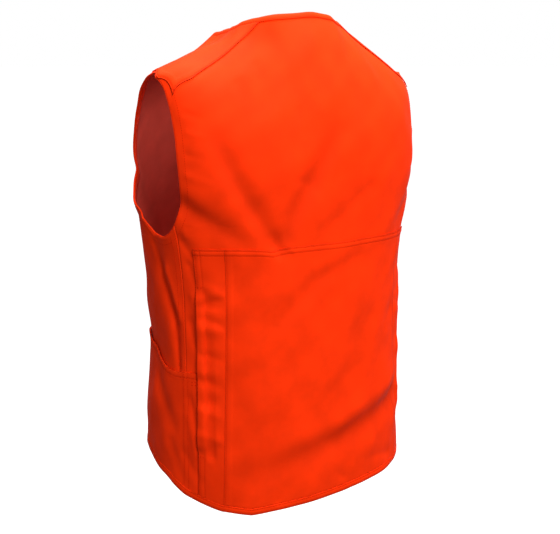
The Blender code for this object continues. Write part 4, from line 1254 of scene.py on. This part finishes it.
# Rows from its rear edge over the ridge to its front edge; the rows at the two edges
# start just inside the yoke line
YOKE_ROWS = 2 * (ROW_RIDGE - ROW_YOKE)
AT_RIDGE = YOKE_ROWS / 2 - 0.001
JUST_INSIDE = 0.002
yoke_share = edge_steps(YOKE_LENGTH) / YOKE_LENGTH * YOKE_ROWS
yoke_across = edge_steps(YOKE_WIDTH)
yoke_columns = SHOULDER_COLUMNS * yoke_across / YOKE_WIDTH
back_side = np.maximum(yoke_share[yoke_share < AT_RIDGE], JUST_INSIDE)
front_side = np.maximum(YOKE_ROWS - yoke_share[yoke_share > AT_RIDGE], JUST_INSIDE)
yoke_places = np.concatenate((
    half_panel(ROW_YOKE + back_side, yoke_columns, True),
    half_panel(ROW_YOKE + front_side, yoke_columns + UNDERARM_COLUMNS, False),
))
for k, share in enumerate(yoke_share):
    line = yoke_places[k]
    run = lengths_along(line)
    inset = np.interp(share, YOKE_INSET[:, 0], YOKE_INSET[:, 1])
    yoke_places[k] = points_along(line, run, inset + (run[-1] - inset) * yoke_across / YOKE_WIDTH)
yoke_down = yoke_share / YOKE_ROWS * YOKE_LENGTH
end = np.minimum(yoke_down, yoke_down[-1] - yoke_down)
yoke_lift = turned(end, (STITCH_NEAR,))[:, None] + turned(yoke_across, (STITCH_NEAR,))[None]
for name, places, node in (
    ("yoke_l", yoke_places, "yoke_left"),
    ("yoke_r", yoke_places * MIRROR, "yoke_right"),
):
    # The yoke's painted shade and shadow along its seams
    tone = YOKE_EDGE_PAINTED_SHADE * seam_tone(end, (STITCH_NEAR,))[:, None]
    tone = tone + seam_tone(yoke_across, (STITCH_NEAR,))[None]
    piece = cloth_wall(name, places, PATCH_BASE + yoke_lift * YOKE_UNDER, PATCH_TOP + yoke_lift,
                       PATCH_ROUNDING, tone)
    fit_out(piece, node, (cloth_right, cloth_wrong))
    top = PATCH_TOP + yoke_lift
    wide = at(np.linspace(STITCH_END, yoke_across[-1] - STITCH_END / 2, 120), yoke_across)
    tall = at(np.linspace(STITCH_END, yoke_down[-1] - STITCH_END, 120), yoke_down)
    lines = [path_on(places, top, at(d, yoke_down), wide)
             for d in (STITCH_NEAR, -STITCH_NEAR)]
    lines.append(path_on(places, top, tall, at(STITCH_NEAR, yoke_across)))
    sew(name + "_stitches", lines)

# Armhole facings: a strip of the same twill turned in round each armhole, under the
# panels' edge. Its folded edge shows as a thin bright lip.
FACING_LOW = -0.0015
FACING_HIGH = -0.0003
LIP = 0.0012
FACING_PROFILE = (
    (-LIP, FACING_LOW + 0.0004), (-LIP - 0.0003, 0.0001), (-LIP, 0.0009), (-0.0004, 0.0011),
    (-0.0002, FACING_HIGH), (FACING_WIDTH, FACING_HIGH), (FACING_WIDTH, FACING_LOW),
    (0.0, FACING_LOW),
)
ARMHOLE_STITCH = 0.0105
SAME_PLACE = 0.0004
armpit_row = int(row_index(ROW_ARMPIT))
corner = int(column_index(UNDERARM_COLUMNS, FRONT_COLUMNS))


def side_of(points):
    """Outward directions of the form at points."""
    return unit(form_slope(points))


def band(name, node, path, profile, closed, keep_x=0.0):
    """A closed section swept along a path on the form, and the path's length.

    The profile's places are sideways, to the left of the path seen from outside, and up
    from the cloth's inner face.
    """
    ahead = np.roll(path, -1, 0) if closed else np.concatenate((path[1:], path[-1:]))
    behind = np.roll(path, 1, 0) if closed else np.concatenate((path[:1], path[:-1]))
    out = side_of(path)
    aside = unit(np.cross(out, ahead - behind))
    count, around = len(path), len(profile)
    rings = []
    for away, up in profile:
        ring = path + aside * away
        near = np.abs(ring[:, 0]) < keep_x
        ring[near, 0] = np.copysign(keep_x, path[near, 0])
        rings.append(on_cloth(ring, np.full(count, up)))
    points = np.stack(rings, 1)
    faces = []
    for k in range(count if closed else count - 1):
        n = (k + 1) % count
        for m in range(around):
            m2 = (m + 1) % around
            faces.append((k * around + m, n * around + m, n * around + m2, k * around + m2))
    if not closed:
        faces.append(tuple(range(around)))
        faces.append(tuple((count - 1) * around + m for m in reversed(range(around))))
    points = points.reshape(-1, 3)
    mesh = bpy.data.meshes.new(name)
    mesh.from_pydata(points.tolist(), [], faces)
    mesh.polygons.foreach_set("use_smooth", np.ones(len(faces), bool))
    run = np.linalg.norm(ahead - behind, axis=1).cumsum() / 2
    width_at = np.tile([away + up for away, up in profile], count)
    lay_flat(mesh, np.stack((np.repeat(run, around), width_at), -1))
    mesh.validate()
    if mesh_volume(points, faces) < 0:
        mesh.flip_normals()
    piece = new_piece(name, mesh)
    fit_out(piece, node, (cloth_right,))
    return piece, float(np.linalg.norm(path - behind, axis=1).sum())


def mesh_volume(points, faces):
    """Six times the volume inside a closed mesh; below nought if it is inside out."""
    total = 0.0
    for face in faces:
        a = points[face[0]]
        for b, c in zip(face[1:-1], face[2:]):
            total += np.dot(a, np.cross(points[b], points[c]))
    return total


def without_doubles(path):
    """The path without the points that lie on the one before."""
    step = np.linalg.norm(np.diff(path, axis=0), axis=1)
    return path[np.concatenate(([True], step > SAME_PLACE))]


def stitched_line(path, away, lift):
    """A line beside an open path, at a height over the cloth's inner face."""
    aside = unit(np.cross(side_of(path), np.gradient(path, axis=0)))
    return on_cloth(path + aside * away, np.full(len(path), lift))


def round_armhole(back_grid, front_grid):
    """The armhole's edge, up the back, over the shoulder, down the front and round."""
    up_back = back_grid[armpit_row:, 0]
    down_front = front_grid[armpit_row:-1, corner][::-1]
    under = front_grid[armpit_row, :corner][::-1]
    return without_doubles(np.concatenate((up_back, down_front, under)))


for name, side, node in (
    ("armhole_facing_l", 1, "armhole_facing_left"),
    ("armhole_facing_r", -1, "armhole_facing_right"),
):
    edge = round_armhole(back_half, front_half) * np.array((side, 1, 1))
    if side == 1:
        edge = edge[::-1]
    piece, length = band(name, node, edge, FACING_PROFILE, True)
    aside = unit(np.cross(side_of(edge), np.roll(edge, -1, 0) - np.roll(edge, 1, 0)))
    row = on_cloth(edge + aside * ARMHOLE_STITCH, np.full(len(edge), CLOTH))
    sew("armhole_stitches" + name[-2:], [np.concatenate((row, row[:1]))])

# The neck band: a narrow strip folded over the raw edge of the neck and the V, and
# stitched along its lower side.
neck_row = int(row_index(ROW_YOKE))
neck_column = int(column_index(SHOULDER_COLUMNS, BACK_COLUMNS))
front_neck = int(column_index(SHOULDER_COLUMNS + UNDERARM_COLUMNS, FRONT_COLUMNS))
half_path = np.concatenate((
    front_half[neck_row, front_neck:][::-1],
    front_half[neck_row + 1:, front_neck],
    back_half[neck_row + 1:-1, neck_column][::-1],
    back_half[neck_row, neck_column:],
))
neck_path = without_doubles(np.concatenate((half_path, (half_path * MIRROR)[-2::-1])))
HEM_INSIDE = -0.0002
NECK_STITCH = 0.0022
NECK_PROFILE = (
    (SEAM_GAP, HEM_INSIDE), (SEAM_GAP, OVERLAY_TOP - 0.0006), (0.0010, OVERLAY_TOP),
    (NECK_STITCH, OVERLAY_TOP - 0.0004), (0.0034, OVERLAY_TOP),
    (BAND_WIDTH - 0.0012, OVERLAY_TOP + 0.0001), (BAND_WIDTH - 0.0002, OVERLAY_TOP - 0.0007),
    (BAND_WIDTH, 0.0012), (BAND_WIDTH - 0.0004, 0.0001), (BAND_WIDTH - 0.0014, HEM_INSIDE),
)
piece, length = band("neck_band", "neck_band", neck_path, NECK_PROFILE, False, 2 * SEAM_GAP)
sew("neck_stitches", [stitched_line(neck_path, NECK_STITCH, OVERLAY_TOP - 0.0002)])

# The hem, turned up all round from zip to zip, with one row of stitches
HEM_OUTSIDE = 0.0028
HEM_STITCH = 0.0080
HEM_START = -90 + 1.2
HEM_END = 268.8
OTHER_SEAM = 180 - SIDE_SEAM
hem_angles = np.concatenate((
    np.linspace(HEM_START, SIDE_SEAM, 130),
    np.linspace(SIDE_SEAM, OTHER_SEAM, 170)[1:],
    np.linspace(OTHER_SEAM, HEM_END, 130)[1:],
))
hem_low = hem_height(hem_angles) - HEM_BAND - SEAM_GAP
hem_path = form_point(hem_angles, hem_low)
HEM_PROFILE = (
    (0.0006, HEM_INSIDE), (0.0, 0.0008), (0.0002, 0.0020), (0.0010, HEM_OUTSIDE),
    (HEM_STITCH - 0.0012, HEM_OUTSIDE), (HEM_STITCH, HEM_OUTSIDE - 0.0005),
    (HEM_STITCH + 0.0010, HEM_OUTSIDE), (HEM_BAND - 0.0004, HEM_OUTSIDE - 0.0003),
    (HEM_BAND, HEM_OUTSIDE - 0.0009), (HEM_BAND, 0.0002), (HEM_BAND - 0.0004, HEM_INSIDE),
)
piece, length = band("hem_band", "hem_band", hem_path, HEM_PROFILE, False)
sew("hem_stitches", [stitched_line(hem_path, HEM_STITCH, HEM_OUTSIDE - 0.0003)])

# The front zip: a woven black tape sewn under the two front edges, with moulded teeth
# down the gap between them.
TAPE_OUTSIDE = -0.0006
TAPE_INSIDE = -0.0016
# The tape and teeth run on inside the hem, down to these heights
TAPE_BELOW = (-0.5985, -0.5940)
FRONT_COLUMN_END = -88.86
TAPE_STEPS = (0.0090, 0.0086, 0.0060, 0.0030, 0.0)
TAPE_COLOUR = (0.018, 0.018, 0.019)
TAPE_ROUGHNESS = 0.8
TEETH_COLOUR = (0.012, 0.012, 0.013)
TEETH_ROUGHNESS = 0.38
TOOTH_PITCH = 0.0013
TOOTH_SIZE = (0.0030, 0.0018, 0.0010)
TOOTH_BEVEL = 0.0003
# Each tooth stands this far to its own side of the gap, and out of the tape
TOOTH_ASIDE = 0.0009
TOOTH_OUT = 0.00062
CHAIN_TOP_ROW = 18.0
CHAIN_END = 0.001
tape_finish = cloth_finish("zip_tape_weave", TAPE_COLOUR, TAPE_ROUGHNESS)
zip_edge = front_half[:neck_row + 1, -1]
inward = unit(front_half[:neck_row + 1, -2] - zip_edge)
below = np.stack([form_point(FRONT_COLUMN_END, z) for z in TAPE_BELOW])
below[:, 0] = ZIP_HALF_GAP
zip_edge = np.concatenate((below, zip_edge))
inward = np.concatenate((inward[:1].repeat(len(TAPE_BELOW), 0), inward))
left_side = np.stack([zip_edge + inward * away for away in TAPE_STEPS], 1)
tape_places = np.concatenate((left_side, (left_side * MIRROR)[:, ::-1]), 1)
tape = cloth_wall("zip_tape", tape_places, TAPE_INSIDE, TAPE_OUTSIDE)
fit_out(tape, "zip_tape", (tape_finish, tape_finish))

teeth_finish, teeth_shader = new_finish("moulded_teeth", TEETH_ROUGHNESS)
teeth_shader.inputs["Base Color"].default_value = (*TEETH_COLOUR, 1.0)
bpy.ops.object.select_all(action="DESELECT")
bpy.ops.mesh.primitive_cube_add(size=1.0)
tooth = bpy.context.active_object
bpy.ops.object.mode_set(mode="EDIT")
bpy.ops.transform.resize(value=TOOTH_SIZE)
bpy.ops.mesh.bevel(offset=TOOTH_BEVEL, segments=1)
bpy.ops.object.mode_set(mode="OBJECT")
tooth_points = np.array([tuple(v.co) for v in tooth.data.vertices])
tooth_faces = [tuple(f.vertices) for f in tooth.data.polygons]
bpy.data.objects.remove(tooth, do_unlink=True)
chain_rows = np.arange(0, row_index(CHAIN_TOP_ROW) + 1 + len(TAPE_BELOW))
chain = on_cloth(np.stack([mix(zip_edge[int(k)], zip_edge[int(k)] * MIRROR, 0.5)
                           for k in chain_rows]))
run = lengths_along(chain)
count = int((run[-1] - 2 * CHAIN_END) / TOOTH_PITCH)
spots = CHAIN_END + np.arange(count) * TOOTH_PITCH
centre = points_along(chain, run, spots)
along = unit(points_along(chain, run, spots + CHAIN_END) - centre + 1e-9)
out = side_of(centre)
aside = unit(np.cross(out, along))
points, faces = [], []
for k in range(count):
    shift = aside[k] * (TOOTH_ASIDE if k % 2 else -TOOTH_ASIDE) + out[k] * TOOTH_OUT
    base = k * len(tooth_points)
    shape = tooth_points[:, :1] * aside[k] + tooth_points[:, 1:2] * out[k]
    shape = shape + tooth_points[:, 2:] * along[k]
    points.append(centre[k] + shift + shape)
    faces += [tuple(base + n for n in face) for face in tooth_faces]
mesh = bpy.data.meshes.new("zip_teeth")
mesh.from_pydata(np.concatenate(points).tolist(), [], faces)
fit_out(new_piece("zip_teeth", mesh), "zip_chain", (teeth_finish,))

# Both edges of the tape are sewn to the fronts
TAPE_ROWS = (0.0020, 0.0080)
on_front = np.full(len(zip_edge), CLOTH)
for name, side in (("zip_stitches_l", 1), ("zip_stitches_r", -1)):
    lines = [(zip_edge + inward * away) * np.array((side, 1, 1)) for away in TAPE_ROWS]
    sew(name, [on_cloth(line, on_front) for line in lines])

# Slider of black enamelled metal at the top of the chain: a tapered body with two ears
# that hold a bar
HINGE = np.array((0.0, -0.151, -0.1835))
SLIDER_HALF_WIDTH = 0.0042
SLIDER_THICK = 0.0030
SLIDER_BACK = 0.0054
SLIDER_TOP = 0.0055
SLIDER_LOW = -0.0055
SLIDER_TAPER = 0.78
EAR_INNER = 0.0020
EAR_THICK = 0.0010
EAR_RADIUS = 0.0021
EAR_SUNK = 0.0004
BAR_RADIUS = 0.0008
SLIDER_CORNER = 0.0007
EAR_CORNER = 0.0002
ROD_CORNER = 0.00015
SMOOTH_BELOW = math.radians(40)
ENAMEL_ROUGHNESS = 0.34
ENAMEL_METALLIC = 0.35
ENAMEL_DARK = (0.012, 0.012, 0.013)
ENAMEL_LIGHT = (0.022, 0.022, 0.024)
ENAMEL_GRAIN = 900.0
metal, metal_shader = new_finish("black_enamel", ENAMEL_ROUGHNESS)
metal_shader.inputs["Metallic"].default_value = ENAMEL_METALLIC
metal_place = metal.node_tree.nodes.new("ShaderNodeTexCoord")
metal_noise = metal.node_tree.nodes.new("ShaderNodeTexNoise")
metal_noise.inputs["Scale"].default_value = ENAMEL_GRAIN
metal_ramp = metal.node_tree.nodes.new("ShaderNodeValToRGB")
metal_ramp.color_ramp.elements[0].color = (*ENAMEL_DARK, 1.0)
metal_ramp.color_ramp.elements[1].color = (*ENAMEL_LIGHT, 1.0)
metal_links = metal.node_tree.links
metal_links.new(metal_place.outputs["Object"], metal_noise.inputs["Vector"])
metal_links.new(metal_noise.outputs["Fac"], metal_ramp.inputs["Fac"])
metal_links.new(metal_ramp.outputs["Color"], metal_shader.inputs["Base Color"])


def rounded(size, place, radius, taper=1.0):
    """A box with rounded edges, narrower at its lower end."""
    bpy.ops.object.select_all(action="DESELECT")
    bpy.ops.mesh.primitive_cube_add(size=1.0, location=tuple(HINGE + np.array(place)))
    box = bpy.context.active_object
    for corner_point in box.data.vertices:
        if corner_point.co.z < 0:
            corner_point.co.x *= taper
    box.scale = size
    bpy.ops.object.transform_apply(location=True, rotation=True, scale=True)
    edges = box.modifiers.new("edges", "BEVEL")
    edges.width = radius
    edges.segments = 3
    bpy.ops.object.modifier_apply(modifier="edges")
    return box


def rod(radius, length, place):
    """A round bar across the slider."""
    bpy.ops.object.select_all(action="DESELECT")
    bpy.ops.mesh.primitive_cylinder_add(vertices=32, radius=radius, depth=length,
                                        location=tuple(HINGE + np.array(place)),
                                        rotation=(0, math.pi / 2, 0))
    bar = bpy.context.active_object
    bpy.ops.object.transform_apply(location=True, rotation=True, scale=True)
    edges = bar.modifiers.new("edges", "BEVEL")
    edges.width = ROD_CORNER
    edges.segments = 2
    bpy.ops.object.modifier_apply(modifier="edges")
    return bar


def hard_piece(name, parts, body, node):
    """Joins parts into one piece of the slider's metal."""
    bpy.ops.object.select_all(action="DESELECT")
    for part in parts:
        part.select_set(True)
    bpy.context.view_layer.objects.active = parts[0]
    bpy.ops.object.join()
    piece = bpy.context.active_object
    piece.name = name
    bpy.ops.object.shade_smooth_by_angle(angle=SMOOTH_BELOW)
    bpy.context.scene.cursor.location = (0, 0, 0)
    bpy.ops.object.origin_set(type="ORIGIN_CURSOR")
    piece.data.materials.append(metal)
    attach(piece, body)
    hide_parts(node)


body_middle = SLIDER_BACK - SLIDER_THICK / 2
ear_reach = SLIDER_BACK - SLIDER_THICK + EAR_SUNK
slider_parts = [rounded((2 * SLIDER_HALF_WIDTH, SLIDER_THICK, SLIDER_TOP - SLIDER_LOW),
                        (0, body_middle, 0), SLIDER_CORNER, SLIDER_TAPER)]
for side in (1, -1):
    ear_x = side * (EAR_INNER + EAR_THICK / 2)
    slider_parts.append(rounded((EAR_THICK, ear_reach, 2 * EAR_RADIUS),
                                (ear_x, ear_reach / 2, 0), EAR_CORNER))
    slider_parts.append(rod(EAR_RADIUS, EAR_THICK, (ear_x, 0, 0)))
slider_parts.append(rod(BAR_RADIUS, 2 * EAR_INNER + EAR_THICK, (0, 0, 0)))
hard_piece("zip_slider", slider_parts, "vest", "zip_slider")

# The slider's pull: a flat tab with a sunk middle, whose eye turns on the bar
EYE_RADIUS = 0.00165
EYE_WALL = 0.00045
HEAD_WIDTH = 0.0034
HEAD_LENGTH = 0.0044
HEAD_MIDDLE = -0.0038
HEAD_CORNER = 0.0003
TAB_WIDTH = 0.0062
TAB_THICK = 0.0012
TAB_TOP = -0.0051
TAB_LOW = -0.0240
TAB_CORNER = 0.0004
# The sunk middle: a flat rim, then a short slope down to it
TAB_RIM = 0.0007
TAB_SUNK = 0.0002
bpy.ops.object.select_all(action="DESELECT")
bpy.ops.mesh.primitive_torus_add(major_segments=32, minor_segments=12, major_radius=EYE_RADIUS,
                                 minor_radius=EYE_WALL, location=tuple(HINGE),
                                 rotation=(0, math.pi / 2, 0))
eye = bpy.context.active_object
eye.scale = (1.0, 1.0, HEAD_WIDTH / 2 / EYE_WALL)
bpy.ops.object.transform_apply(location=True, rotation=True, scale=True)
neck = rounded((HEAD_WIDTH, TAB_THICK, HEAD_LENGTH), (0, 0, HEAD_MIDDLE), HEAD_CORNER)
tab = rounded((TAB_WIDTH, TAB_THICK, TAB_TOP - TAB_LOW), (0, 0, (TAB_TOP + TAB_LOW) / 2),
              TAB_CORNER)
bpy.ops.object.mode_set(mode="EDIT")
bpy.ops.mesh.select_all(action="DESELECT")
bpy.ops.object.mode_set(mode="OBJECT")
for face in tab.data.polygons:
    face.select = face.area > 0.5 * TAB_WIDTH * (TAB_TOP - TAB_LOW)
bpy.ops.object.mode_set(mode="EDIT")
bpy.ops.mesh.select_mode(type="FACE")
bpy.ops.mesh.inset(thickness=TAB_RIM, depth=0.0)
bpy.ops.mesh.inset(thickness=TAB_SUNK, depth=-TAB_SUNK)
bpy.ops.object.mode_set(mode="OBJECT")
hard_piece("zip_pull", [tab, neck, eye], "pull_tab", "zip_pull")
